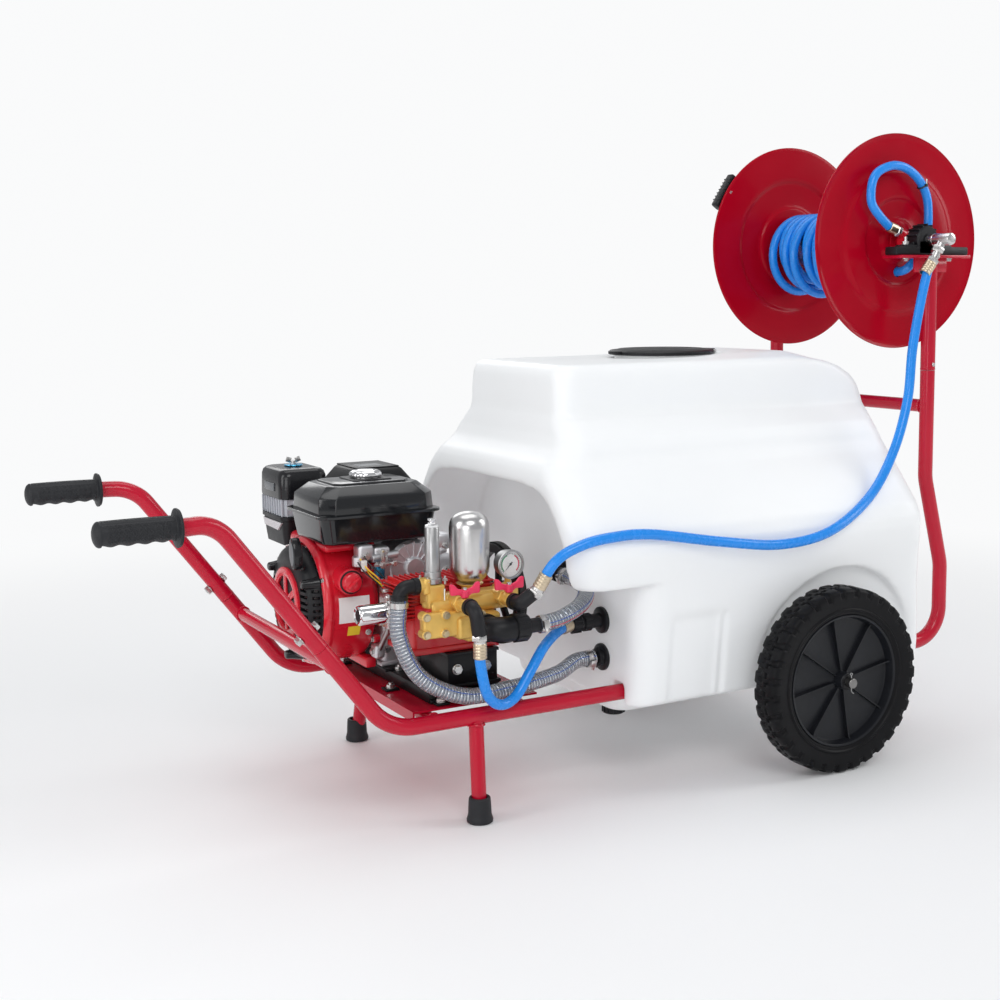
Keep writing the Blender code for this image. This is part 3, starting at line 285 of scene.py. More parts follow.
def turned(profile, center, axis, mat, n=48, deg=30, name="part"):
    """Turned shape from (radius, height); a closed loop when neither end is on the axis."""
    turn = Z.rotation_difference(Vec(axis).normalized()).to_matrix()
    center = Vec(center)
    verts, faces, rings = [], [], []
    for radius, height in profile:
        if radius < 1e-6:
            rings.append([len(verts)])
            verts.append(center + turn @ Vec((0, 0, height)))
        else:
            rings.append(list(range(len(verts), len(verts) + n)))
            for a in around(n):
                verts.append(center + turn @ Vec((radius * cos(a), radius * sin(a), height)))
    pairs = list(zip(rings, rings[1:]))
    if profile[0][0] > 1e-6 and profile[-1][0] > 1e-6:
        pairs.append((rings[-1], rings[0]))
    for low, high in pairs:
        for k in range(n):
            l = (k + 1) % n
            if len(low) == 1:
                faces.append((low[0], high[l], high[k]))
            elif len(high) == 1:
                faces.append((low[k], low[l], high[0]))
            else:
                faces.append((low[k], low[l], high[l], high[k]))
    return shade(outward(mesh_object(verts, faces, mat, name)), deg)


def box(lo, hi, mat=None, bevel=0.002, segs=2, rot=None, at=(0, 0, 0), name="part"):
    """Bevelled box between two corners, turned about its middle and shifted by at."""
    lo, hi = Vec(lo), Vec(hi)
    size = hi - lo
    work = bmesh.new()
    bmesh.ops.create_cube(work, size=1.0)
    bmesh.ops.scale(work, vec=size, verts=work.verts)
    if bevel:
        bmesh.ops.bevel(work, geom=work.edges, offset=min(bevel, 0.49 * min(size)),
                        segments=segs, affect='EDGES', profile=0.5)
    if rot is not None:
        bmesh.ops.transform(work, matrix=rot.to_4x4(), verts=work.verts)
    bmesh.ops.translate(work, vec=(hi + lo) / 2 + Vec(at), verts=work.verts)
    mesh = bpy.data.meshes.new(name)
    work.to_mesh(mesh)
    work.free()
    obj = bpy.data.objects.new(name, mesh)
    SCENE_OBJECTS.link(obj)
    if mat:
        mesh.materials.append(mat)
    return shade(obj, 40)


def boxes(mat, rows):
    """Boxes from rows of (low corner, high corner, bevel, bevel segments)."""
    return [box(lo, hi, mat, *rest) for lo, hi, *rest in rows]


def spokes(axis, center, radius, angles, half, mat, bevel, segs=1, turn=0.0):
    """Boxes of half size half round an axis named 'X', 'Y' or 'Z', each pointing outwards."""
    out = []
    for a in angles:
        u, w = radius * cos(a), radius * sin(a)
        middle = Vec(center) + Vec({"X": (0, u, w), "Y": (u, 0, w), "Z": (u, w, 0)}[axis])
        spin = Matrix.Rotation((-a if axis == "Y" else a) + turn, 3, axis)
        out.append(box(middle - Vec(half), middle + Vec(half), mat, bevel, segs, spin))
    return out


def rod(start, end, radius, mat=None, n=24, bevel=0.0008):
    start, end = Vec(start), Vec(end)
    height = (end - start).length
    edge = min(bevel, height * 0.3, radius * 0.4)
    return turned([(0, 0), (radius - edge, 0), (radius, edge), (radius, height - edge),
                   (radius - edge, height), (0, height)], start, end - start, mat, n)


def rods(mat, rows):
    """Rods from rows of (start, end, radius, sides, bevel)."""
    return [rod(start, end, radius, mat, *rest) for start, end, radius, *rest in rows]


def ring(point, axis, inner, outer, height, mat, n=32):
    edge = 0.0004
    return turned([(inner, 0), (outer - edge, 0), (outer, edge), (outer, height - edge),
                   (outer - edge, height), (inner, height)], point, axis, mat, n)


def hexagon(point, axis, flats, height, mat=ZINC):
    """Hexagon nut or bolt head with chamfered corners; flats is its width across flats."""
    radius = flats / 2 / cos(pi / 6)
    return turned([(0, 0), (radius * 0.93, 0), (radius, height * 0.12),
                   (radius, height * 0.86), (radius * 0.9, height), (0, height)],
                  point, axis, mat, 6)


def bolt(point, axis, size, mat=ZINC, washer=True, length=0.0):
    """Hexagon head standing on point, with a washer and a shank of given length below."""
    point, axis = Vec(point), Vec(axis).normalized()
    out = []
    if washer:
        out.append(rod(point, point + axis * size * 0.22, size * 1.15, mat, 20, 0.0003))
    lift = axis * size * (0.2 if washer else 0)
    out.append(hexagon(point + lift, axis, size * 1.7, size * 0.65, mat))
    if length:
        out.append(rod(point - axis * length, point + axis * size * 1.25, size * 0.5, mat,
                       14, 0.0004))
    return out


def bolts(axis, size, points, **more):
    return [part for point in points for part in bolt(point, axis, size, **more)]


def ridged_strip(verts, mat, flip=False):
    """Bar through stations of four corners each; flip reverses its faces."""
    last = len(verts) - 4
    faces = []
    for b in range(0, last, 4):
        faces += [(b, b + 4, b + 6, b + 2), (b + 1, b + 3, b + 7, b + 5),
                  (b, b + 1, b + 5, b + 4), (b + 2, b + 6, b + 7, b + 3)]
    faces += [(0, 2, 3, 1), (last, last + 1, last + 3, last + 2)]
    if flip:
        faces = [face[:1] + face[:0:-1] for face in faces]
    return mesh_object(verts, faces, mat)


def loft(rows, steps=6, mat=None, name="part"):
    """Skin over rounded rectangles; rows are (z, x0, x1, y0, y1, corner radius)."""
    verts, faces = [], []
    for z, x0, x1, y0, y1, radius in rows:
        middle, half = (y0 + y1) / 2, (y1 - y0) / 2
        for x, y, start in ((x1 - radius, half - radius, 0), (x0 + radius, half - radius, 90),
                            (x0 + radius, -half + radius, 180),
                            (x1 - radius, -half + radius, 270)):
            for i in range(steps + 1):
                a = radians(start + 90 * i / steps)
                verts.append((x + radius * cos(a), middle + (y + radius * sin(a)), z))
    n = 4 * (steps + 1)
    for i in range(len(rows) - 1):
        for j in range(n):
            l = (j + 1) % n
            faces.append((i * n + j, i * n + l, (i + 1) * n + l, (i + 1) * n + j))
    faces.append(tuple(range(n))[::-1])
    faces.append(tuple((len(rows) - 1) * n + j for j in range(n)))
    return mesh_object(verts, faces, mat, name)


def stack(base, rows, mat, steps=6):
    """Loft from a base (x0, x1, y0, y1) and rows of (z, inset, corner radius)."""
    x0, x1, y0, y1 = base
    return loft([(z, x0 + d, x1 - d, y0 + d, y1 - d, r) for z, d, r in rows], steps, mat)


def prism(outline, axis, start, end, mat=None):
    """Extrudes an outline along 'x' from its (y, z), or along 'y' from its (x, z)."""
    verts = [(t, u, z) if axis == 'x' else (u, t, z) for t in (start, end) for u, z in outline]
    n = len(outline)
    faces = [(i, (i + 1) % n, n + (i + 1) % n, n + i) for i in range(n)]
    faces += [tuple(range(n))[::-1], tuple(range(n, 2 * n))]
    return outward(mesh_object(verts, faces, mat))


def remove(obj):
    mesh = obj.data
    bpy.data.objects.remove(obj, do_unlink=True)
    bpy.data.meshes.remove(mesh)


def join(name, parts):
    """One object from several parts, keeping their materials."""
    mats, verts, faces, indices = [], [], [], []
    for part in parts:
        base = len(verts)
        verts += [v.co for v in part.data.vertices]
        slots = []
        for mat in part.data.materials:
            if mat not in mats:
                mats.append(mat)
            slots.append(mats.index(mat))
        for face in part.data.polygons:
            faces.append(tuple(base + i for i in face.vertices))
            indices.append(slots[face.material_index] if slots else 0)
    mesh = bpy.data.meshes.new(name)
    mesh.from_pydata([tuple(v) for v in verts], [], faces)
    for mat in mats:
        mesh.materials.append(mat)
    mesh.polygons.foreach_set("material_index", indices)
    for part in parts:
        remove(part)
    obj = bpy.data.objects.new(name, mesh)
    SCENE_OBJECTS.link(obj)
    return shade(obj, 35)


def bake(obj):
    """Applies the object's modifiers."""
    bpy.context.view_layer.update()
    evaluated = obj.evaluated_get(bpy.context.evaluated_depsgraph_get())
    mesh = bpy.data.meshes.new_from_object(evaluated)
    old = obj.data
    obj.modifiers.clear()
    obj.data = mesh
    mesh.name = obj.name
    bpy.data.meshes.remove(old)
    return obj


def boolean(obj, tools, operation='DIFFERENCE'):
    for tool in tools:
        mod = obj.modifiers.new("b", 'BOOLEAN')
        mod.operation, mod.object, mod.solver = operation, tool, 'EXACT'
    bake(obj)
    for tool in tools:
        remove(tool)


def softened(obj, width, segments, angle):
    """Rounds the edges that fold by more than angle degrees."""
    mod = obj.modifiers.new("fold", 'BEVEL')
    mod.width, mod.segments = width, segments
    mod.limit_method, mod.angle_limit = 'ANGLE', radians(angle)
    return bake(obj)


def fillet(corners, radii, n=8):
    """Rounds the inner corners of a path; radii is one radius, or one per corner."""
    path = [Vec(p) for p in corners]
    out = [path[0]]
    for i in range(1, len(path) - 1):
        radius = radii[i - 1] if isinstance(radii, list) else radii
        back, ahead = (path[i - 1] - path[i]).normalized(), (path[i + 1] - path[i]).normalized()
        bend = pi - back.angle(ahead)
        reach = radius * tan(bend / 2)
        start, end = path[i] + back * reach, path[i] + ahead * reach
        center = path[i] + (back + ahead).normalized() * (radius / cos(bend / 2))
        for k in range(n + 1):
            f = k / n
            out.append(center + ((start - center) * sin((1 - f) * bend)
                                 + (end - center) * sin(f * bend)) / sin(bend))
    out.append(path[-1])
    return out


def spline(points, n=10):
    """Catmull-Rom curve through points, n steps to a span."""
    path = [Vec(p) for p in points]
    path = [path[0] * 2 - path[1]] + path + [path[-1] * 2 - path[-2]]
    out = []
    for i in range(1, len(path) - 2):
        a, b, c, d = path[i - 1:i + 3]
        for k in range(n):
            t = k / n
            out.append(0.5 * ((2 * b) + (c - a) * t + (2 * a - 5 * b + 4 * c - d) * t * t
                              + (3 * b - a - 3 * c + d) * t ** 3))
    out.append(path[-2])
    return out


def resample(path, step):
    """Points at even distances along a path."""
    reached = [0.0]
    for a, b in zip(path, path[1:]):
        reached.append(reached[-1] + (b - a).length)
    n = max(2, int(round(reached[-1] / step)))
    out, j = [], 0
    for i in range(n + 1):
        s = reached[-1] * i / n
        while j < len(reached) - 2 and reached[j + 1] < s:
            j += 1
        f = (s - reached[j]) / max(reached[j + 1] - reached[j], 1e-9)
        out.append(path[j].lerp(path[j + 1], f))
    return out


def ease(t):
    return t * t * (3 - 2 * t)


# ---------------------------------------------------------------- placing
finished = set()


def place(obj, node, body=None, mat=None):
    """Moves a piece out of the axle frame and fixes it to the body of its CAD node."""
    obj.location.x += AXLE_X
    if mat:
        obj.data.materials.clear()
        obj.data.materials.append(mat)
    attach(obj, body or NODE_BODY[node])
    if node:
        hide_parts(node)
        finished.add(node)


def piece(name, node, parts):
    """Joined parts that stand for a CAD node."""
    place(join(name, parts), node)


def extra(name, parts, body="cart"):
    """Joined parts that no CAD node stands for."""
    place(join(name, parts), None, body)


def keep(node, mat):
    """A CAD node whose shape is right keeps its mesh and takes a finish."""
    for slot in frame["nodes"][node].material_slots:
        slot.material = mat
    finished.add(node)


# ================================================================ TANK
TANK_FACE = -0.415      # x of the flat face towards the engine
LID_X = -0.148
LID_AT = (LID_X, 0, 0)
TANK_ROWS = [           # z, x of the +X face, half width, corner radius
    (0.160, 0.294, 0.300, 0.035), (0.168, 0.299, 0.308, 0.040), (0.200, 0.300, 0.312, 0.044),
    (0.260, 0.296, 0.318, 0.046), (0.320, 0.286, 0.326, 0.048), (0.360, 0.281, 0.334, 0.050),
    (0.400, 0.275, 0.343, 0.052), (0.430, 0.272, 0.351, 0.055), (0.455, 0.268, 0.357, 0.058),
    (0.475, 0.267, 0.357, 0.058), (0.500, 0.266, 0.347, 0.060), (0.530, 0.264, 0.325, 0.062),
    (0.553, 0.263, 0.307, 0.062), (0.575, 0.262, 0.288, 0.060), (0.600, 0.260, 0.264, 0.058),
    (0.620, 0.256, 0.250, 0.055), (0.640, 0.248, 0.242, 0.050), (0.660, 0.241, 0.230, 0.046),
    (0.680, 0.243, 0.208, 0.042), (0.692, 0.243, 0.194, 0.038), (0.702, 0.242, 0.191, 0.036),
    (0.730, 0.230, 0.190, 0.036), (0.750, 0.214, 0.189, 0.038), (0.768, 0.185, 0.186, 0.038),
    (0.780, 0.150, 0.182, 0.036), (0.787, 0.105, 0.176, 0.034), (0.790, 0.070, 0.168, 0.032)]
NOSE_ROWS = [           # z, x of the -X face of the overhang
    (0.396, -0.535), (0.400, -0.548), (0.410, -0.556), (0.430, -0.560), (0.580, -0.560),
    (0.598, -0.556), (0.612, -0.548), (0.626, -0.532), (0.640, -0.520), (0.660, -0.512),
    (0.690, -0.505), (0.700, -0.502), (0.772, -0.500), (0.786, -0.494), (0.790, -0.482)]
SUMP_ROWS = [           # z, x0, x1, half width, corner radius
    (0.120, -0.375, -0.075, 0.185, 0.035), (0.128, -0.388, -0.062, 0.198, 0.04),
    (0.150, -0.393, -0.057, 0.203, 0.04), (0.30, -0.393, -0.057, 0.203, 0.04)]
BAY_HALF = [            # y, z of half the arched bay under the overhang
    (0.303, 0.30), (0.303, 0.430), (0.298, 0.455), (0.288, 0.480), (0.277, 0.498),
    (0.266, 0.515), (0.253, 0.530), (0.239, 0.544), (0.223, 0.556), (0.205, 0.564),
    (0.185, 0.569), (0.120, 0.574)]


def table_at(rows, z, column):
    return float(np.interp(z, [row[0] for row in rows], [row[column] for row in rows]))


def tank_blank():
    """The tank as sharp solids: shell, overhang and sump, less the cut-outs."""
    levels = sorted(set([row[0] for row in TANK_ROWS] + list(np.arange(0.18, 0.79, 0.012))))

    def section(z, x0, x1, narrow=0.0, least=0.0):
        half = table_at(TANK_ROWS, z, 2) - narrow
        return z, x0, x1, -half, half, max(least, table_at(TANK_ROWS, z, 3))

    body = loft([section(z, TANK_FACE, table_at(TANK_ROWS, z, 1)) for z in levels], 10,
                name="tank_shell")
    nose_levels = sorted([z for z in levels if z > 0.4] + [0.396, 0.400])
    nose = loft([section(z, table_at(NOSE_ROWS, z, 1), 0.03, 0.006 if z < 0.399 else 0.0, 0.03)
                 for z in nose_levels], 10)
    sump = loft([(z, x0, x1, -half, half, radius) for z, x0, x1, half, radius in SUMP_ROWS], 10)
    boolean(body, [nose, sump], 'UNION')
    bay = BAY_HALF + [(-y, z) for y, z in reversed(BAY_HALF)]
    cutters = [prism(bay, 'x', -0.70, TANK_FACE)]
    for side in (1, -1):
        rail_y = side * 0.246
        cutters.append(box((-0.6, rail_y - 0.0185, 0.05), (0.6, rail_y + 0.0185, 0.1995),
                           bevel=0.0))
        y0, y1 = sorted((side * 0.312, side * 0.5))
        cutters.append(rod((0.055, y0, 0.19), (0.055, y1, 0.19), 0.195, n=96, bevel=0))
    cutters.append(box((-0.014, -0.5, 0.05), (0.014, 0.5, 0.1945), bevel=0.0))  # axle notch
    cutters.append(rod((LID_X, 0, 0.60), (LID_X, 0, 0.85), 0.084, n=64, bevel=0))  # filler
    boolean(body, cutters)
    return body


def ramp_between(start, end, values):
    return ease(np.clip((values - start) / (end - start), 0, 1))


def build_tank():
    """Rounds the blank by remeshing, then moulds its relief."""
    body = tank_blank()
    remesh = body.modifiers.new("skin", 'REMESH')
    remesh.mode, remesh.voxel_size, remesh.adaptivity = 'VOXEL', 0.0042, 0.0
    bake(body)
    coords = np.empty(len(body.data.vertices) * 3, dtype=np.float64)
    body.data.vertices.foreach_get("co", coords)
    coords = coords.reshape(-1, 3)
    x, y, z = coords.T.copy()
    step = ramp_between
    # the top swells towards +X, with a flat seat around the filler
    from_lid = np.hypot(x - LID_X, y)
    coords[:, 2] += (0.011 * step(0.765, 0.788, z) * step(-0.34, 0.02, x)
                     * (1 - step(0.07, 0.15, x)) * (1 - step(0.11, 0.18, np.abs(y)))
                     * step(0.1125, 0.1205, from_lid))
    # shallow panel and groove low on the flanks
    flank = (np.abs(y) > 0.285) & (z < 0.36)
    depth = (0.0045 * step(-0.347, -0.341, x) * (1 - step(-0.241, -0.235, x))
             * (1 - step(0.318, 0.340, z)))
    depth = depth + (0.0065 * np.exp(-((x + 0.226) / 0.0048) ** 2)
                     * (1 - step(0.315, 0.335, z)))
    coords[:, 1] -= np.sign(y) * depth * flank
    body.data.vertices.foreach_set("co", coords.ravel())
    body.data.update()
    soft = body.modifiers.new("soft", 'SMOOTH')
    soft.factor, soft.iterations = 0.5, 8
    bake(body)
    body.data.shade_smooth()
    return body


place(build_tank(), "tank", mat=WHITE)
place(turned([(0.0845, 0.760), (0.0845, 0.7955), (0.087, 0.7965), (0.094, 0.7965),
              (0.0965, 0.7950), (0.0975, 0.784), (0.0975, 0.760)],
             LID_AT, Z, WHITE, 72, name="tank_neck"), "tank")

# lid: ribbed disc, hinge lug with its pin, and a tab opposite
piece("tank_lid_cap", "tank_lid", [
    turned([(0, 0.8082), (0.052, 0.8082), (0.0555, 0.8068), (0.061, 0.8068),
            (0.0645, 0.8082), (0.087, 0.8078), (0.093, 0.8060), (0.098, 0.8060),
            (0.104, 0.8052), (0.1075, 0.8025), (0.1080, 0.7985), (0.1070, 0.7966),
            (0.0850, 0.7966), (0, 0.7966)], LID_AT, Z, BLACK, 96),
    *spokes("Z", (LID_X, 0, 0.8), 0.1062, around(36), (0.002, 0.002, 0.003), BLACK, 0.0006),
    box((LID_X + 0.092, -0.03, 0.797), (LID_X + 0.117, 0.03, 0.8055), BLACK, 0.0025),
    rod((LID_X + 0.112, -0.036, 0.8012), (LID_X + 0.112, 0.036, 0.8012), 0.0028, ZINC, 14),
    box((LID_X - 0.118, -0.016, 0.7985), (LID_X - 0.1, 0.016, 0.8045), BLACK, 0.002)])

piece("drain_cap", "drain_plug", [
    turned([(0, 0.13), (0.0119, 0.13), (0.0119, 0.1196), (0.0235, 0.1196), (0.024, 0.117),
            (0.024, 0.114), (0.0215, 0.1125), (0.0215, 0.096), (0.02, 0.0935), (0, 0.0935)],
           (-0.33, -0.1, 0), Z, BLACK, 40),
    *spokes("Z", (-0.33, -0.1, 0.104), 0.0218, around(14), (0.0018, 0.0018, 0.009), BLACK,
            0.0006)])
keep("strainer_basket", BLACK)

# ================================================================ FRAME
RAIL_Y, RAIL_Z, TUBE_R = 0.246, 0.181, 0.015
JOINT_X, JOINT_Z = -1.001, 0.340        # where the handle tubes meet the rails
BEND_X = -0.881                         # where the rails level out
POST_X, POST_FOOT_X = 0.354, 0.402
LEG_X, LEG_Y = -0.7235, 0.2775          # foot of a leg on the floor
slope = (Vec((BEND_X, 0, RAIL_Z)) - Vec((JOINT_X, 0, JOINT_Z))).normalized()
slope_up = Vec((-slope.z, 0, slope.x))


def weld(center, across, up, radius, n):
    return tube(circle(center, across, up, radius, n), 0.0024, RED, 8, closed=True)


def frame_tubes():
    parts = []
    for side in (1, -1):
        y = side * RAIL_Y
        parts.append(tube(fillet([(JOINT_X, y, JOINT_Z), (BEND_X, y, RAIL_Z),
                                  (POST_FOOT_X, y, RAIL_Z), (POST_FOOT_X, y, 0.345),
                                  (POST_X, y, 0.530), (POST_X, y, 0.7555)],
                                 [0.10, 0.07, 0.10, 0.10], 14), TUBE_R, RED, 28))
        top, low = Vec((-0.713, y, RAIL_Z)), Vec((LEG_X, side * LEG_Y, 0.0))
        parts.append(tube([top, low + (top - low) * 0.12], 0.0135, RED, 28))
        down = (low - top).normalized()
        across = down.orthogonal().normalized()
        parts.append(weld(top + down * 0.0155, across, down.cross(across), 0.0145, 40))
    for x, z, radius in ((-0.9745, 0.305, 0.0125), (-0.79, 0.1825, 0.011),
                         (-0.62, 0.1825, 0.011), (POST_X, 0.681, 0.0135)):
        parts.append(tube([(x, -RAIL_Y, z), (x, RAIL_Y, z)], radius, RED, 24))
        for side in (1, -1):
            parts.append(weld((x, side * (RAIL_Y - 0.0128), z), X, Z, radius + 0.0008, 32))
    return parts


piece("frame_tubes", "welded_frame", frame_tubes())
keep("engine_plate", RED)

GRIP_X, GRIP_Y, GRIP_Z = -1.3665, 0.262, 0.566      # end of the grip on the handle's line


def build_handle(tag, side):
    joint = Vec((JOINT_X, side * RAIL_Y, JOINT_Z)) - slope * 0.0006
    middle = joint - slope * 0.035
    piece("handle_tube_" + tag, "handle_" + tag, [
        tube(fillet([(-1.352, side * GRIP_Y, GRIP_Z), (-1.222, side * GRIP_Y, GRIP_Z),
                     (-1.172, side * 0.247, GRIP_Z), joint], [0.03, 0.07], 12),
             TUBE_R, RED, 28),
        rod(joint - slope * 0.0035, joint, 0.0154, RED, 28, 0.0006)])
    up = slope_up
    extra("handle_bolt_" + tag, [
        rod(middle - up * 0.0245, middle + up * 0.0225, 0.0035, ZINC, 16),
        hexagon(middle + up * 0.0158, up, 0.015, 0.0065),
        rod(middle + up * 0.0146, middle + up * 0.016, 0.0092, ZINC, 24, 0.0003),
        hexagon(middle - up * 0.016, -up, 0.015, 0.0075),
        rod(middle - up * 0.016, middle - up * 0.0146, 0.0092, ZINC, 24, 0.0003)])


def grip_radius(x, t):
    """Plain radius at x, t along the grip: domed end, slight swell, then a flange."""
    if t < 0.010:
        return 0.0205 * sqrt(max(0.0, 1 - ((0.010 - t) / 0.0103) ** 2))
    if x > -1.2405:
        rise = min(1, (x + 1.2405) / 0.0022)
        return 0.0200 + 0.0112 * ease(rise) - (0.0018 if x > -1.2350 else 0)
    return 0.0200 + 0.0008 * sin(pi * (x - GRIP_X) / 0.126)


def build_grip(tag, side):
    """Sleeve with finger waves below, knurled sides and fine ribs above."""
    rows, n = 150, 64
    verts, faces = [], []
    for i in range(rows + 1):
        x = GRIP_X + 0.1335 * i / rows
        t = x - GRIP_X
        plain = grip_radius(x, t)
        for a in [2 * pi * k / n for k in range(n)]:
            across, up = cos(a), sin(a)
            r = plain
            if 0.012 < t < 0.122:
                if up < -0.25:
                    weight = min(1, (-up - 0.25) / 0.4)
                    r -= weight * 0.0026 * (0.5 + 0.5 * cos(2 * pi * (t - 0.014) / 0.0265))
                if abs(across) > 0.72 and 0.020 < t < 0.114:
                    groove = (abs((t * 1000 + a * 20) % 5 - 2.5) < 0.9
                              or abs((t * 1000 - a * 20) % 5 - 2.5) < 0.9)
                    r += 0.0 if groove else 0.0011
                if up > 0.55:
                    r += 0.0005 * cos(a * 40)
            verts.append((x, side * GRIP_Y + r * across, GRIP_Z + r * up))
    for i in range(rows):
        for k in range(n):
            l = (k + 1) % n
            faces.append((i * n + k, (i + 1) * n + k, (i + 1) * n + l, i * n + l))
    faces.append(tuple(range(n)))
    faces.append(tuple(rows * n + k for k in range(n))[::-1])
    sleeve = mesh_object(verts, faces, RUBBER, "grip_sleeve_" + tag)
    place(shade(sleeve, 50), "grip_" + tag)


def build_foot(tag, side):
    place(turned([(0, 0.0), (0.0215, 0.0), (0.0232, 0.0016), (0.0235, 0.006), (0.0222, 0.01),
                  (0.0208, 0.016), (0.02, 0.036), (0.0192, 0.0435), (0.0178, 0.0452),
                  (0.0146, 0.0452), (0.0141, 0.03), (0, 0.03)],
                 (LEG_X, side * LEG_Y, 0.0), Z, RUBBER, 40, name="rubber_foot_" + tag),
          "foot_" + tag)


def build_reel_post(tag, side):
    """Upper post with its bracket plate, gusset and coupling screws."""
    y = side * RAIL_Y
    y0, y1 = sorted((side * 0.213, side * 0.272))
    piece("reel_post_upper_" + tag, "reel_post_" + tag, [
        tube([(POST_X, y, 0.7566), (POST_X, y, 0.9868)], TUBE_R, RED, 28),
        rod((POST_X, y, 0.7563), (POST_X, y, 0.76), 0.0155, RED, 28, 0.0006),
        box((0.253, y0, 0.9866), (0.443, y1, 0.9925), RED, 0.0012),
        box((POST_X - 0.045, y - 0.002, 0.958), (POST_X + 0.045, y + 0.002, 0.9872), RED,
            0.0006)])
    extra("post_bolts_" + tag, [
        part for out in (1, -1)
        for part in bolt((POST_X, side * (RAIL_Y + out * 0.0148), 0.768), Y * side * out,
                         0.0045, washer=False)])


for tag, side in SIDES:
    build_handle(tag, side)
    build_grip(tag, side)
    build_foot(tag, side)
    build_reel_post(tag, side)

# ================================================================ WHEELS
AXLE_Z, WHEEL_Y = 0.18, 0.38
TYRE_HALF = [           # radius, offset from the wheel's middle, depth of tread
    (0.1290, 0.0245, 0.0), (0.1320, 0.0262, 0.0), (0.1350, 0.0268, 0.0), (0.1372, 0.0290, 0.0),
    (0.1395, 0.0292, 0.0), (0.1415, 0.0272, 0.0), (0.1480, 0.0284, 0.0), (0.1560, 0.0296, 0.0),
    (0.1620, 0.0303, 0.0), (0.1655, 0.0307, 0.5), (0.1690, 0.0309, 1.0), (0.1722, 0.0306, 1.0),
    (0.1752, 0.0294, 1.0), (0.1778, 0.0266, 1.0), (0.1793, 0.0225, 1.0), (0.1799, 0.0170, 1.0),
    (0.1800, 0.0110, 1.0), (0.1800, 0.0060, 1.0), (0.1800, 0.0035, 0.9), (0.1800, 0.0015, 0.3)]
LUGS = 32


def tread_depth(angle, offset, weight):
    """Depth cut below the plain tyre at an angle and an offset."""
    if weight <= 0:
        return 0.0
    away = abs(offset)
    if away > 0.0085:               # shoulder lugs parted by slots
        phase = (angle * LUGS / (2 * pi) + (0.5 if offset < 0 else 0.0) + 5.5 * away) % 1.0
        lug = abs(phase - 0.5) * 2  # 0 in the middle of a slot, 1 in the middle of a lug
        if away > 0.0215:           # the slots open out into notches at the shoulder
            return 0.0046 * max(0.0, min(1.0, (0.44 - lug) / 0.16)) * weight
        return 0.0042 * max(0.0, min(1.0, (0.30 - lug) / 0.11)) * weight
    phase = (angle * LUGS * 2 / (2 * pi)) % 1.0     # centre zigzag rib
    shift = 0.0032 * (1 if phase < 0.5 else -1)
    return 0.0030 if abs(abs(offset + shift * 0.6) - 0.0065) < 0.0022 else 0.0


def build_tyre(tag, side):
    rows = LUGS * 17
    section = TYRE_HALF + [(r, -offset, t) for r, offset, t in reversed(TYRE_HALF)]
    m = len(section)
    verts, faces = [], []
    for i in range(rows):
        angle = 2 * pi * i / rows
        for radius, offset, weight in section:
            depth = tread_depth(angle, offset, weight)
            r = radius - depth
            pull = depth * 0.70 if radius < 0.177 else 0
            y = offset - (1 if offset > 0 else -1) * pull
            verts.append((r * cos(angle), side * y, r * sin(angle)))
    for i in range(rows):
        k = (i + 1) % rows
        for j in range(m - 1):
            faces.append((i * m + j, i * m + j + 1, k * m + j + 1, k * m + j))
        faces.append((i * m + m - 1, i * m, k * m, k * m + m - 1))
    tyre = outward(mesh_object(verts, faces, TYRE, "tyre_tread_" + tag))
    tyre.location = (0, side * WHEEL_Y, AXLE_Z)
    place(shade(tyre, 32), "tyre_" + tag)


RIM_PROFILE = [         # radius, offset outwards from the wheel's middle
    (0.0106, 0.0325), (0.0145, 0.0330), (0.0160, 0.0315), (0.0180, 0.0130), (0.0300, 0.0095),
    (0.1150, 0.0058), (0.1195, 0.0080), (0.1226, 0.0225), (0.1236, 0.0246), (0.1255, 0.0256),
    (0.1276, 0.0262), (0.1286, 0.0245), (0.1286, -0.0245), (0.1225, -0.0248),
    (0.1155, -0.0240), (0.1110, -0.0120), (0.1020, -0.0010), (0.0300, 0.0025),
    (0.0225, -0.0020), (0.0205, -0.0290), (0.0106, -0.0300)]
RIB_STATIONS = [        # radius, offset of the rib's foot and of its crest
    (0.0165, 0.002, 0.0185), (0.060, 0.002, 0.017), (0.112, 0.002, 0.016),
    (0.1222, 0.004, 0.0185)]


def build_rim(tag, side):
    center, out = Vec((0, side * WHEEL_Y, AXLE_Z)), Y * side
    parts = [turned(RIM_PROFILE, center, out, RIM, 96)]
    half = 0.0017
    for a in around(8, 10):
        radial = Vec((cos(a), 0, sin(a)))
        across = radial.cross(out)
        verts = []
        for radius, foot, crest in RIB_STATIONS:
            for edge in (1, -1):
                verts.append(center + radial * radius + across * (half * edge) + out * foot)
                verts.append(center + radial * radius + across * (half * 0.7 * edge)
                             + out * crest)
        parts.append(ridged_strip(verts, RIM, flip=True))
    piece("rim_moulding_" + tag, "rim_" + tag, parts)


for tag, side in SIDES:
    build_tyre(tag, side)
    build_rim(tag, side)

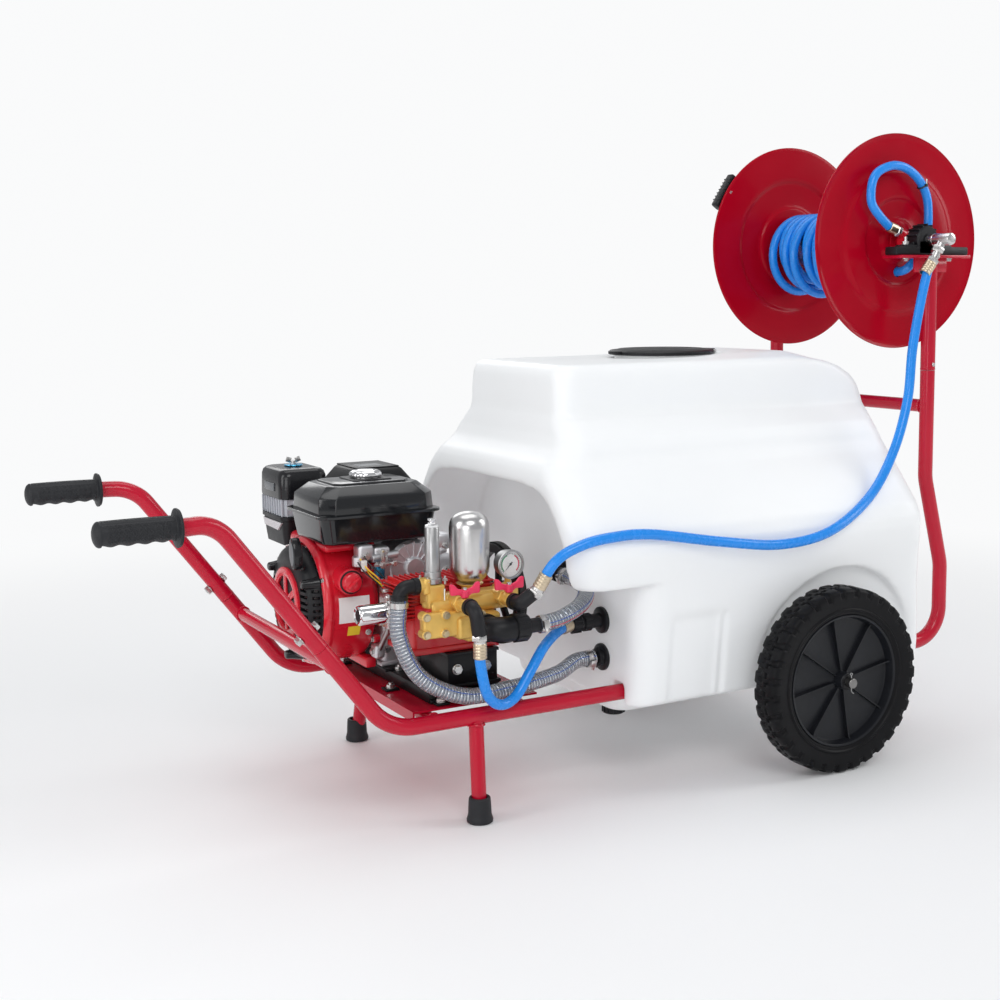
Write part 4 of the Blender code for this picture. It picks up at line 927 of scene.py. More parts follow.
axle = [rod((0, -0.4298, AXLE_Z), (0, 0.4298, AXLE_Z), 0.0098, AXLE_STEEL, 32, 0.0012)]
for side in (1, -1):    # washer and split pin
    y = side * 0.4228
    axle += [turned([(0.0098, 0.414), (0.0098, 0.4162), (0.015, 0.4162), (0.0156, 0.4156),
                     (0.0156, 0.4144), (0.015, 0.414)], (0, 0, AXLE_Z), Y * side, BRACKET, 36),
             tube([(0, y, AXLE_Z + 0.015), (0.0004, y, AXLE_Z), (0, side * 0.423, 0.1655),
                   (0.0018, side * 0.4236, 0.1615), (0.005, side * 0.4246, 0.1595)],
                  0.001, STEEL, 10),
             tube(circle((0, y, 0.1972), X, Z, 0.0024, 18), 0.0009, STEEL, 8, closed=True)]
piece("axle_shaft", "axle", axle)

# ================================================================ REEL
REEL_X, REEL_Z = 0.333, 1.023
REEL_AT = Vec((REEL_X, 0, REEL_Z))
DISC_Y = 0.1705
DISC_STEPS = [          # radius, step outwards from DISC_Y
    (0.0122, 0.0075), (0.030, 0.0078), (0.0405, 0.0072), (0.0445, 0.0050), (0.0485, 0.0012),
    (0.0530, 0.0), (0.0830, 0.0), (0.0865, 0.0008), (0.0895, 0.0035), (0.0930, 0.0052),
    (0.0980, 0.0056), (0.1400, 0.0052), (0.1440, 0.0045), (0.1475, 0.0018), (0.1520, 0.0003),
    (0.1600, 0.0), (0.2060, 0.0004), (0.2150, 0.0010), (0.2185, 0.0022), (0.2215, 0.0036),
    (0.2226, 0.0020), (0.2222, 0.0002), (0.2200, -0.0010)]
disc_profile = [(r, DISC_Y + h) for r, h in DISC_STEPS] + [
    (r - (0.0006 if r > 0.05 else 0), DISC_Y + h - 0.0022) for r, h in DISC_STEPS[-6::-1]]
LOOP_X, LOOP_Z = 0.336, 0.960           # hole where the feed loop enters the right disc

for tag, side in SIDES:
    disc = turned(disc_profile, REEL_AT, Y * side, REEL_RED, 160, 50, "reel_disc_plate_" + tag)
    if side < 0:
        boolean(disc, [rod((LOOP_X, -0.21, LOOP_Z), (LOOP_X, -0.12, LOOP_Z), 0.0112, n=32,
                           bevel=0)])
        shade(disc, 50)
    place(disc, "reel_disc_" + tag)

drum = [turned([(0.0475, 0.1664), (0.05, 0.1664), (0.05, -0.1664), (0.0475, -0.1664)],
               REEL_AT, Y, ZINC, 64),
        rod((REEL_X, -0.2612, REEL_Z), (REEL_X, 0.2612, REEL_Z), 0.011, ZINC, 32, 0.001)]
for side in (1, -1):
    drum.append(turned([(0.011, 0.179), (0.029, 0.179), (0.03, 0.18), (0.03, 0.1822),
                        (0.029, 0.183), (0.015, 0.1832), (0.0145, 0.193), (0.011, 0.1932)],
                       REEL_AT, Y * side, REEL_RED, 40))
    drum += bolts(Y * side, 0.0055,
                  circle((REEL_X, side * 0.1828, REEL_Z), *(
                      Matrix.Rotation(-pi / 4, 3, 'Y') @ axis for axis in (X, Z)), 0.0225, 4),
                  washer=False)
piece("reel_shaft_drum", "reel_drum", drum)

# wound hose: loose loops hanging from the drum
TURNS = [               # radius of each turn, its sideways sway
    (0.0665, 0.4), (0.0800, -0.6), (0.0700, 0.9), (0.0850, -0.3), (0.0680, 0.6),
    (0.0760, -0.8), (0.0665, 0.2), (0.0845, 0.7), (0.0720, -0.5), (0.0790, 0.5),
    (0.0665, -0.9), (0.0850, 0.4), (0.0700, 0.8), (0.0775, -0.4), (0.0670, 0.6),
    (0.0820, -0.3)]


def wound_path():
    points, pitch, top, per_turn = [], 0.0192, 0.0612, 40
    first_y = -pitch * len(TURNS) / 2
    for k, (radius, sway) in enumerate(TURNS):
        for i in range(per_turn):
            t = i / per_turn
            a = pi / 2 + 2 * pi * t
            across = ease(max(0.0, min(1.0, (t - 0.55) / 0.45)))
            y = (first_y + pitch * (k + 0.5 * t + 0.5 * across)
                 + 0.0028 * sway * sin(pi * t) ** 2)
            points.append((REEL_X + radius * cos(a), y,
                           REEL_Z + top - radius + radius * sin(a)))
    return points


place(tube(wound_path(), 0.0094, BLUE, 12, name="wound_hose"), "spray_hose")

# feed loop outside the right disc, from the hub elbow to the hole
FEED_Y = -0.2
FEED_LOOP = [           # x, z at FEED_Y
    (0.2829, 1.0519), (0.258, 1.0716), (0.236, 1.0951), (0.2317, 1.1188), (0.2374, 1.1467),
    (0.2557, 1.1651), (0.2932, 1.1763), (0.3316, 1.1696), (0.3655, 1.1465), (0.386, 1.1145),
    (0.3916, 1.0779), (0.3898, 1.0452), (0.380, 1.0150), (0.3645, 0.9917)]
FEED_END = [(0.3455, -0.198, 0.9733), (0.338, -0.188, 0.963), (LOOP_X, -0.165, LOOP_Z),
            (LOOP_X, -0.150, LOOP_Z)]
place(tube(spline([(x, FEED_Y, z) for x, z in FEED_LOOP] + FEED_END, 8), 0.0092, BLUE, 20,
           name="feed_loop"), None, "reel")
extra("reel_hub_elbow", [
    tube(fillet([(REEL_X, FEED_Y, REEL_Z + 0.002), (REEL_X, FEED_Y, 1.0335),
                 (0.306, FEED_Y, 1.0437)], 0.006, 6), 0.0085, ENAMEL_RED, 20),
    rod((REEL_X, -0.1885, REEL_Z), (REEL_X, -0.214, REEL_Z), 0.0175, ENAMEL_RED, 32, 0.001),
    hexagon((0.311, FEED_Y, 1.0418), (-0.934, 0, 0.357), 0.021, 0.01),
    rod((0.301, FEED_Y, 1.0456), (0.282, FEED_Y, 1.0523), 0.0112, FERRULE, 28)],
    "reel")
tie_at = Vec((0.3725, FEED_Y, 1.1375))
tie_normal = Vec((0.62, 0, -0.785)).normalized().cross(Y)
extra("hose_tie", [
    tube(circle(tie_at, tie_normal, Y, 0.0103, 24), 0.0017, BLACK_WIRE, 8, closed=True),
    box(tie_at - Vec((0.003, 0.0145, 0.003)), tie_at + Vec((0.003, -0.0095, 0.003)),
        BLACK_WIRE, 0.0006),
    box(tie_at + Vec((-0.0012, -0.013, 0.002)), tie_at + Vec((0.0012, -0.0118, 0.013)), TIE,
        0.0004)], "reel")

# crank grip: a waisted block with ribs, and its pin through the left disc
CRANK_ANGLE = radians(146)
CRANK_TURN = radians(124)
grip_at = Vec((REEL_X + 0.2145 * cos(CRANK_ANGLE), 0.188, REEL_Z + 0.2145 * sin(CRANK_ANGLE)))
block = box((-0.042, -0.011, -0.012), (0.042, 0.011, 0.012), BLACK, 0.005, 4,
            name="crank_grip_block")
for v in block.data.vertices:
    v.co.z *= 1.0 - 0.10 * cos(pi * v.co.x / 0.042 * 0.5)
block.data.transform(Matrix.Rotation(CRANK_TURN, 4, 'Y'))
block.data.transform(Matrix.Translation(grip_at))
along = Vec((-sin(CRANK_ANGLE), 0, cos(CRANK_ANGLE)))
piece("crank_grip_block", "crank_grip", [block] + [
    box((-0.0011, -0.0117, -0.0122), (0.0011, 0.0117, 0.0122), BLACK, 0.0005, 1,
        Matrix.Rotation(CRANK_TURN, 3, 'Y'), grip_at + along * (0.009 * i))
    for i in range(-3, 4)])
pin_x, pin_z = REEL_X + 0.211 * cos(CRANK_ANGLE), REEL_Z + 0.211 * sin(CRANK_ANGLE)
extra("crank_pin_bolt", [rod((pin_x, 0.169, pin_z), (pin_x, 0.204, pin_z), 0.0042, ZINC, 20),
                         *bolt((pin_x, 0.2, pin_z), Y, 0.0055, washer=False)], body="reel")


def build_bearing(tag, side):
    y0, y1 = sorted((side * 0.2262, side * 0.2618))
    y = (y0 + y1) / 2
    parts = [box((0.247, y0, 0.9928), (0.446, y1, 1.0095), BLACK, 0.003),
             rod((REEL_X, y0, REEL_Z), (REEL_X, y1, REEL_Z), 0.029, BLACK, 48, 0.003),
             box((0.307, y0, 0.9935), (0.359, y1, REEL_Z), BLACK, 0.003),
             box((0.27, y0 + 0.002, 1.0), (0.402, y1 - 0.002, 1.0135), BLACK, 0.004)]
    parts += spokes("Y", (REEL_X, y, REEL_Z), 0.03, [radians(18 + 24 * k) for k in range(7)],
                    (0.0035, (y1 - y0) / 2 - 0.003, 0.0014), BLACK, 0.0006)
    for end in (-1, 1):
        for k in range(3):
            x = REEL_X + end * (0.036 + 0.007 * k)
            parts.append(box((x - 0.0014, y0 + 0.004, 1.005),
                             (x + 0.0014, y1 - 0.004, 1.019 - 0.0035 * k), BLACK, 0.0006, 1))
    piece("bearing_block_" + tag, "bearing_" + tag, parts)
    fixings = []
    for x in (0.287, 0.406):
        fixings += bolt((x, y, 1.014), Z, 0.0075, length=0.02)
        fixings.append(rod((x, y, 1.014), (x, y, 1.03), 0.0036, ZINC, 16))
        fixings += bolt((x, y, 0.9868), -Z, 0.0075)
    extra("bearing_bolts_" + tag, fixings)


for tag, side in SIDES:
    build_bearing(tag, side)

tail_axis = (-0.512, 0, -0.859)
piece("reel_swivel_body", "reel_swivel", [
    turned([(0, 0.2624), (0.011, 0.2624), (0.0125, 0.2636), (0.0125, 0.28), (0.0118, 0.2806),
            (0.0118, 0.2816), (0.0125, 0.2822), (0.0125, 0.3225), (0.0112, 0.3255),
            (0.008, 0.327), (0.006, 0.3272), (0, 0.3272)], REEL_AT, -Y, INOX, 48),
    rod((REEL_X, -0.3, REEL_Z), (0.3205, -0.3, 1.002), 0.0095, INOX, 32),
    rod((0.3205, -0.3, 1.002), (0.31, -0.3, 0.9838), 0.0085, ZINC, 28),
    hexagon((0.3235, -0.3, 1.007), tail_axis, 0.0225, 0.012),
    ring((0.315, -0.3, 0.9925), tail_axis, 0.006, 0.01, 0.005, ZINC)])

# ================================================================ ENGINE MOUNT
CRANK_Y, CRANK_Z = 0.080, 0.353         # crankshaft axis, along X
CRANK = Vec((0, CRANK_Y, CRANK_Z))
PLATE_TOP = 0.2003
TAB_X = (-0.7625, -0.6545)

# two bars across, slabs on them, the pump's pedestal and its lip, and corner tabs
piece("engine_mount_base", "mount_base", boxes(BRACKET, [
    ((-0.78, -0.196, PLATE_TOP + 0.0003), (-0.745, 0.186, 0.2235), 0.0015),
    ((-0.672, -0.196, PLATE_TOP + 0.0003), (-0.637, 0.186, 0.2235), 0.0015),
    ((-0.79, -0.03, 0.2218), (-0.635, 0.19, 0.228), 0.0015),
    ((-0.742, -0.198, 0.2218), (-0.635, -0.031, 0.228), 0.0015),
    ((-0.74, -0.193, 0.227), (-0.64, -0.075, 0.286), 0.002),
    ((-0.7425, -0.1955, 0.28), (-0.6375, -0.0725, 0.2861), 0.001),
    *[((x - 0.0155, y - 0.014, PLATE_TOP + 0.0003), (x + 0.0155, y + 0.014, 0.2075), 0.001)
      for x in TAB_X for y in (-0.188, 0.178)]]))
fixings = []
for x, y in ([(x, -0.2075) for x in TAB_X] + [(x, 0.197) for x in TAB_X]
             + [(-0.8, -0.075), (-0.8, 0.15)]):
    fixings.append(box((x - 0.013, y - 0.012, PLATE_TOP + 0.0004),
                       (x + 0.013, y + 0.014, PLATE_TOP + 0.0044), BRACKET, 0.0008))
    fixings += bolt((x, y, PLATE_TOP + 0.0044), Z, 0.008, length=0.002)
fixings += bolts(-Y, 0.0085, [(-0.722, -0.1935, 0.255), (-0.664, -0.1935, 0.255)])
fixings += bolts(Z, 0.008, [(-0.7625, -0.03, 0.2235), (-0.7625, -0.135, 0.2235)],
                 length=0.003)
extra("mount_bolts", fixings)

# ================================================================ ENGINE
piece("engine_casting", "engine_block", [
    # crankcase, cylinder core, shaft boss, feet, head cover
    box((-0.788, -0.01, 0.2285), (-0.634, 0.17, 0.43), ALU, 0.012, 3),
    box((-0.78, 0.1, 0.325), (-0.66, 0.262, 0.438), ALU, 0.006),
    rod((-0.636, CRANK_Y, CRANK_Z), (-0.6205, CRANK_Y, CRANK_Z), 0.035, ALU, 40, 0.003),
    box((-0.79, -0.012, 0.2283), (-0.632, 0.012, 0.238), ALU, 0.002),
    box((-0.79, 0.15, 0.2283), (-0.632, 0.174, 0.238), ALU, 0.002),
    box((-0.772, 0.262, 0.336), (-0.668, 0.288, 0.432), ALU, 0.008, 3),
    # cooling fins
    *[box((-0.786, 0.176 + 0.0112 * k, 0.318), (-0.655, 0.176 + 0.0112 * k + 0.003, 0.446),
          ALU, 0.0008, 1) for k in range(8)],
    # governor dome with its boss and ribs
    rod((-0.723, -0.02, 0.413), (-0.723, 0.06, 0.413), 0.052, ALU, 56, 0.006),
    rod((-0.723, -0.028, 0.413), (-0.723, -0.01, 0.413), 0.02, ALU, 32, 0.003),
    *spokes("Y", (-0.723, -0.01875, 0.413), 0.035, [radians(20 + 23 * k) for k in range(7)],
            (0.015, 0.00375, 0.0013), ALU, 0.0006),
    # ribs on the right face of the crankcase
    *[box((-0.776, -0.014, z), (-0.646, -0.006, z + 0.004), ALU, 0.001, 1)
      for z in (0.262, 0.292, 0.322, 0.352)],
    # lumps and short tubes above it
    box((-0.845, -0.048, 0.44), (-0.815, -0.018, 0.469), ALU, 0.006, 3),
    rod((-0.84, -0.033, 0.428), (-0.84, -0.033, 0.448), 0.012, ALU, 24, 0.002),
    box((-0.813, -0.042, 0.436), (-0.78, -0.006, 0.462), ALU, 0.006, 3),
    rod((-0.818, -0.042, 0.442), (-0.765, -0.038, 0.446), 0.0075, ALU, 24, 0.001),
    rod((-0.7, -0.03, 0.435), (-0.66, -0.025, 0.442), 0.007, ALU, 24, 0.001),
    box((-0.678, -0.03, 0.442), (-0.648, 0.004, 0.474), ALU, 0.007, 3),
    box((-0.79, -0.018, 0.39), (-0.768, 0.01, 0.44), ALU, 0.005, 3)])
RIGHT_BOLTS = [         # place, size
    ((-0.83, -0.048, 0.448), 0.0065), ((-0.796, -0.042, 0.45), 0.006),
    ((-0.806, -0.042, 0.43), 0.0055), ((-0.662, -0.03, 0.45), 0.006),
    ((-0.7, -0.02, 0.4), 0.0055), ((-0.746, -0.02, 0.39), 0.0055),
    ((-0.65, -0.01, 0.4), 0.006), ((-0.778, -0.01, 0.26), 0.0065),
    ((-0.644, -0.01, 0.26), 0.0065)]
extra("casting_bolts", [
    *[part for point, size in RIGHT_BOLTS for part in bolt(point, -Y, size)],
    *bolts(X, 0.006, [(-0.634, 0.035, 0.405), (-0.634, 0.125, 0.405), (-0.634, 0.025, 0.3),
                      (-0.634, 0.135, 0.3)]),
    *bolts(Y, 0.006, [(x, 0.288, z) for z in (0.35, 0.418) for x in (-0.76, -0.68)]),
    # spark plug boot, oil cap and oil drain
    rod((-0.72, 0.288, 0.385), (-0.72, 0.316, 0.39), 0.01, BLACK, 24, 0.002),
    rod((-0.788, 0.02, 0.248), (-0.802, 0.008, 0.252), 0.012, BLACK, 24, 0.001),
    rod((-0.71, -0.01, 0.245), (-0.71, -0.018, 0.245), 0.008, ZINC, 12, 0.001)])

# ---- fan shroud
SHROUD_R = 0.118
SWITCH_X, SWITCH_Z = -0.865, 0.4055
SHROUD_PROFILE = [      # radius, x
    (0.030, -0.7905), (0.0840, -0.7905), (0.0865, -0.7925), (0.0895, -0.8045),
    (0.0915, -0.8065), (0.1100, -0.8080), (0.1155, -0.8098), (0.1180, -0.8150),
    (0.1180, -0.8880), (0.1190, -0.8930), (0.1212, -0.8960), (0.1216, -0.9000),
    (0.1195, -0.9050), (0.1165, -0.9080), (0.1120, -0.9096), (0.1110, -0.9060),
    (0.1120, -0.8980), (0.1120, -0.8170), (0.1080, -0.8125), (0.0850, -0.8105),
    (0.0805, -0.7955), (0.030, -0.7950)]


def crank_point(x, radius, deg):
    """Point at an angle round the crankshaft."""
    a = radians(deg)
    return x, CRANK_Y + radius * cos(a), CRANK_Z + radius * sin(a)


piece("fan_shroud_drum", "fan_shroud", [
    turned(SHROUD_PROFILE, CRANK, X, ENAMEL_RED, 120),
    # air duct and its top, foot, boss of the switch, bolt lugs
    box((-0.89, 0.065, 0.4), (-0.799, 0.198, 0.47), ENAMEL_RED, 0.014, 4),
    box((-0.896, -0.012, 0.454), (-0.796, 0.15, 0.4702), ENAMEL_RED, 0.008, 3),
    box((-0.82, -0.01, 0.229), (-0.799, 0.17, 0.25), ENAMEL_RED, 0.004, 2),
    rod((SWITCH_X, -0.01, SWITCH_Z), (SWITCH_X, -0.0562, SWITCH_Z), 0.0235, ENAMEL_RED, 56,
        0.003),
    *[rod(crank_point(-0.808, SHROUD_R, deg), crank_point(-0.796, SHROUD_R, deg), 0.0085,
          ENAMEL_RED, 24, 0.001) for deg in (35, 145, 215, 325)]])
extra("shroud_bolts", [
    *bolts(-X, 0.0058, [crank_point(-0.808, SHROUD_R, deg) for deg in (145, 215)]),
    *bolt((-0.826, CRANK_Y - 0.1175, 0.305), -Y, 0.005)])


def wrapped_label(x0, x1, z0, z1, mat):
    """Blank plate wrapped round the right side of the shroud."""
    start, end = asin((z0 - CRANK_Z) / SHROUD_R), asin((z1 - CRANK_Z) / SHROUD_R)
    verts, n = [], 12
    for k in range(n + 1):
        a = start + (end - start) * k / n
        for r in (SHROUD_R - 0.0003, SHROUD_R + 0.0004):
            for x in (x0, x1):
                verts.append((x, CRANK_Y - r * cos(a), CRANK_Z + r * sin(a)))
    return outward(ridged_strip(verts, mat))


extra("blank_spec_plate", [wrapped_label(-0.882, -0.822, 0.326, 0.374, WHITE_LABEL),
                           wrapped_label(-0.863, -0.839, 0.300, 0.318, YELLOW_LABEL)])

# ---- recoil starter: slotted cover, star plate, screws and pull grip
cover = turned([
    (0, -0.9330), (0.0380, -0.9330), (0.0450, -0.9300), (0.0860, -0.9280), (0.0960, -0.9240),
    (0.1000, -0.9180), (0.1010, -0.9110), (0.1078, -0.9104), (0.1080, -0.9150),
    (0.1050, -0.9230), (0.1010, -0.9290), (0.0920, -0.9345), (0.0700, -0.9375),
    (0.0460, -0.9380), (0.0440, -0.9385), (0, -0.9390)], CRANK, X, BLACK, 120,
    name="recoil_cover_shell")
slots = []
for k in range(9):
    z = 0.3050 + 0.0118 * k
    reach = sqrt(0.104 ** 2 - (z - CRANK_Z) ** 2)
    for side in (1, -1):
        for x0, x1, inner, outer in ((-0.942, -0.924, 0.066, reach - 0.01),
                                     (-0.927, -0.9135, reach - 0.006, 0.115)):
            y0, y1 = sorted((CRANK_Y - side * inner, CRANK_Y - side * outer))
            slots.append(box((x0, y0, z - 0.003), (x1, y1, z + 0.003), None, 0.001, 1))
boolean(cover, [join("slot_cutter", slots)])
shade(cover, 30)
place(cover, "recoil_cover", mat=BLACK)
extra("recoil_star_plate", [
    turned([(0.05, -0.937), (0.066, -0.937), (0.066, -0.942), (0.064, -0.9432),
            (0.052, -0.9432), (0.05, -0.942)], CRANK, X, ENAMEL_RED, 80),
    turned([(0, -0.9385), (0.02, -0.9385), (0.02, -0.9425), (0.018, -0.9435), (0, -0.944)],
           CRANK, X, ENAMEL_RED, 48),
    *spokes("X", (-0.9408, CRANK_Y, CRANK_Z), 0.038, around(6, 30), (0.002, 0.02, 0.006),
            ENAMEL_RED, 0.001, 2)])
screws = []
for deg in (152, 272, 32):
    screws.append(turned([(0, -0.912), (0.013, -0.912), (0.0095, -0.93), (0.008, -0.942),
                          (0.006, -0.944), (0, -0.9445)],
                         crank_point(0, 0.1015, deg), X, GLOSS, 32))
    screws += bolt(crank_point(-0.906, 0.1145, deg), -X, 0.005)
screws.append(rod((-0.933, 0.012, 0.424), (-0.933, 0.012, 0.43), 0.007, GLOSS, 24, 0.001))
extra("recoil_screws", screws)
pull = [turned([(0, -0.01), (0.012, -0.01), (0.0142, -0.0085), (0.0148, -0.005),
                (0.0148, 0.005), (0.0142, 0.0085), (0.012, 0.01), (0, 0.01)],
               (0, 0, 0), X, GLOSS, 56),
        turned([(0, 0.0085), (0.011, 0.0085), (0.011, 0.0105), (0.0098, 0.0112),
                (0, 0.0114)], (0, 0, 0), -X, GREY, 56),
        turned([(0, 0.006), (0.0105, 0.006), (0.0105, 0.0102), (0.0098, 0.0106),
                (0, 0.0106)], (0, 0, 0), X, GREY, 56)]
for part in pull:       # round discs drawn out into a tall, leaning oval
    part.data.transform(Matrix(((0.84, 0, 0, 0), (0, 0.98, 0.12 * 1.98, 0), (0, 0, 1.98, 0),
                                (0, 0, 0, 1))))
pull_grip = join("recoil_pull_grip", pull)
pull_grip.data.transform(Matrix.Translation((-0.9438, 0.012, 0.455)))
place(pull_grip, "recoil_handle")

piece("crankshaft_flywheel", "crankshaft", [
    turned([(0, -0.886), (0.02, -0.886), (0.042, -0.883), (0.048, -0.872), (0.1, -0.87),
            (0.104, -0.869), (0.104, -0.846), (0.032, -0.846), (0.032, -0.842),
            (0.0125, -0.842), (0.0125, -0.5722), (0.0115, -0.5712), (0, -0.5712)],
           CRANK, X, ALU, 72),
    *spokes("X", (-0.8825, CRANK_Y, CRANK_Z), 0.078, around(18), (0.0135, 0.02, 0.001), ALU,
            0.0005, turn=0.35)])

# ---- fuel tank: lower half, flange, upper half, plateau, cap seat, neck and stays
FUEL_BASE = (-0.915, -0.681, -0.052, 0.132)     # x0, x1, y0, y1
CAP_X, CAP_Y = -0.790, 0.045
piece("fuel_tank_body", "fuel_tank", [
    stack(FUEL_BASE, [(0.4712, 0.015, 0.018), (0.4720, 0.0125, 0.020), (0.4745, 0.01, 0.021),
                      (0.48, 0.0088, 0.022), (0.518, 0.003, 0.022), (0.5225, 0.002, 0.022)],
          ENAMEL),
    stack(FUEL_BASE, [(0.5212, -0.0035, 0.024), (0.522, -0.005, 0.025),
                      (0.5262, -0.005, 0.025), (0.527, -0.0035, 0.024)], ENAMEL),
    softened(stack(FUEL_BASE, [(0.5255, 0.0026, 0.024), (0.5565, 0.005, 0.024),
                               (0.576, 0.027, 0.02)], ENAMEL, 1), 0.0014, 3, 18),
    softened(stack((-0.875, -0.72, -0.015, 0.095),
                   [(0.5745, 0, 0.012), (0.5797, 0.004, 0.011)], ENAMEL, 1), 0.001, 3, 18),
    stack((-0.83, -0.75, 0.006, 0.084),
          [(0.579, 0, 0.008), (0.5812, 0.001, 0.008), (0.5818, 0.003, 0.007)], BLACK),
    turned([(0.019, 0.578), (0.025, 0.578), (0.025, 0.5835), (0.019, 0.5835)],
           (CAP_X, CAP_Y, 0), Z, CHROME, 48),
    box((-0.89, -0.02, 0.47), (-0.874, 0.1, 0.483), ENAMEL_RED, 0.003),
    box((-0.71, -0.01, 0.44), (-0.695, 0.1, 0.483), ALU, 0.003)])


def scalloped_cap():
    """Eight-lobed fuel cap."""
    n = 96
    profile = [         # radius, height
        (0.0, 0.0135), (0.01, 0.0135), (0.015, 0.013), (0.018, 0.0118), (0.0205, 0.0122),
        (0.024, 0.0112), (0.0285, 0.0088), (0.0305, 0.006), (0.031, 0.0025), (0.03, 0.0),
        (0.0, 0.0)]
    verts, faces = [], []
    for radius, height in profile:
        for a in around(n):
            lobe = 0.055 * (0.5 + 0.5 * cos(8 * a)) ** 2 if radius > 0.022 else 0.0
            r = radius * (1 - lobe)
            verts.append((CAP_X + r * cos(a), CAP_Y + r * sin(a), 0.5838 + height))
    for i in range(len(profile) - 1):
        for k in range(n):
            l = (k + 1) % n
            faces.append((i * n + k, (i + 1) * n + k, (i + 1) * n + l, i * n + l))
    cap = mesh_object(verts, faces, CHROME, "fuel_cap_chrome")
    return shade(outward(cap, weld=True), 40)


place(scalloped_cap(), "fuel_cap")

# ---- air cleaner: cover, ribbed band, base, and the carburettor below
CLEANER_BASE = (-0.9, -0.8, 0.202, 0.335)
cleaner = [
    stack(CLEANER_BASE, [(0.526, 0.002, 0.02), (0.5275, 0.0004, 0.021), (0.533, 0.0, 0.021),
                         (0.57, 0.001, 0.021), (0.578, 0.0035, 0.02), (0.5825, 0.0085, 0.017),
                         (0.5845, 0.015, 0.013), (0.585, 0.022, 0.01)], GLOSS, 8),
    stack(CLEANER_BASE, [(0.49, 0.006, 0.016), (0.5265, 0.005, 0.017)], SMOKE),
    stack(CLEANER_BASE, [(0.433, 0.014, 0.01), (0.4345, 0.01, 0.012), (0.456, 0.007, 0.014),
                         (0.484, 0.004, 0.016), (0.485, 0.001, 0.018), (0.4915, 0.001, 0.018),
                         (0.4925, 0.003, 0.016)], BLACK),
    box((-0.9025, 0.242, 0.54), (-0.899, 0.295, 0.556), GREY, 0.0015),
    prism([(0.215, 0.48), (0.32, 0.48), (0.312, 0.466), (0.236, 0.464)], 'x', -0.8975, -0.89,
          LABEL)]
for k in range(9):
    y = 0.2130 + 0.0138 * k
    cleaner.append(box((-0.8972, y, 0.492), (-0.8925, y + 0.0028, 0.525), SMOKE, 0.0008, 1))
    if k < 7:
        x = -0.8890 + 0.0136 * k
        for y in (0.2052, 0.3290):
            cleaner.append(box((x, y, 0.492), (x + 0.0028, y + 0.0028, 0.525), SMOKE,
                               0.0008, 1))
cleaner += [
    # carburettor body, float bowl, throat and bowl nut
    box((-0.844, 0.213, 0.377), (-0.789, 0.267, 0.42), ALU, 0.006, 3),
    rod((-0.818, 0.24, 0.362), (-0.818, 0.24, 0.383), 0.02, ALU, 40, 0.003),
    rod((-0.846, 0.24, 0.415), (-0.786, 0.24, 0.415), 0.017, ALU, 32, 0.002),
    rod((-0.818, 0.24, 0.356), (-0.818, 0.24, 0.363), 0.007, BRASS, 16),
    # intake elbow, lever plate, control rod and fuel cock
    box((-0.862, 0.216, 0.398), (-0.838, 0.266, 0.438), BLACK, 0.008, 3),
    box((-0.882, 0.212, 0.404), (-0.842, 0.268, 0.408), ZINC, 0.001, 1),
    rod((-0.89, 0.216, 0.434), (-0.836, 0.2, 0.448), 0.0025, ZINC, 12),
    rod((-0.87, 0.225, 0.388), (-0.844, 0.225, 0.388), 0.009, BLACK, 20, 0.001),
    *bolt((-0.87, 0.238, 0.408), Z, 0.006), *bolt((-0.886, 0.26, 0.4), -X, 0.006)]
piece("air_cleaner_housing", "air_cleaner", cleaner)
NUT_X, NUT_Y = -0.850, 0.268
piece("air_cleaner_wing_nut", "air_cleaner_nut", [
    rod((NUT_X, NUT_Y, 0.588), (NUT_X, NUT_Y, 0.596), 0.0055, ZINC, 24, 0.001),
    *[box((NUT_X + side * 0.0095 - 0.0055, 0.2668, 0.5925),
          (NUT_X + side * 0.0095 + 0.0055, 0.2692, 0.603), ZINC, 0.001, 2,
          Matrix.Rotation(-side * 0.35, 3, 'Y')) for side in (1, -1)],
    turned([(0.0045, 0.5856), (0.016, 0.5856), (0.0185, 0.5866), (0.018, 0.588),
            (0.012, 0.5884), (0.0045, 0.589)], (NUT_X, NUT_Y, 0), Z, BLUE_ZINC, 48)])

# ---- muffler: guard, exhaust stub, top plates, ribs and outlet
muffler = [
    stack((-0.775, -0.64, 0.152, 0.3),
          [(0.46, 0.006, 0.012), (0.464, 0.001, 0.014), (0.552, 0.0, 0.014),
           (0.556, 0.001, 0.014), (0.577, 0.016, 0.01), (0.58, 0.02, 0.009),
           (0.5812, 0.024, 0.008)], BRACKET),
    rod((-0.71, 0.22, 0.4463), (-0.71, 0.22, 0.464), 0.0165, STEEL, 32, 0.001),
    box((-0.754, 0.174, 0.58), (-0.662, 0.278, 0.5832), BRACKET, 0.0014, 2),
    box((-0.74, 0.19, 0.5828), (-0.69, 0.23, 0.5837), GREY, 0.0004, 1)]
for k in range(7):
    x = -0.743 + 0.013 * k
    for y in (0.1508, 0.2985):
        muffler.append(box((x, y, 0.476), (x + 0.005, y + 0.0027, 0.545), BRACKET, 0.001, 1))
for k in range(6):
    z = 0.474 + 0.013 * k
    muffler.append(box((-0.6412, 0.17, z), (-0.6385, 0.282, z + 0.005), BRACKET, 0.001, 1))
muffler.append(turned([(0.0075, 0.29), (0.01, 0.29), (0.01, 0.306), (0.0075, 0.306)],
                      (-0.69, 0, 0.53), Y, STEEL, 32))
piece("muffler_box", "muffler", muffler)

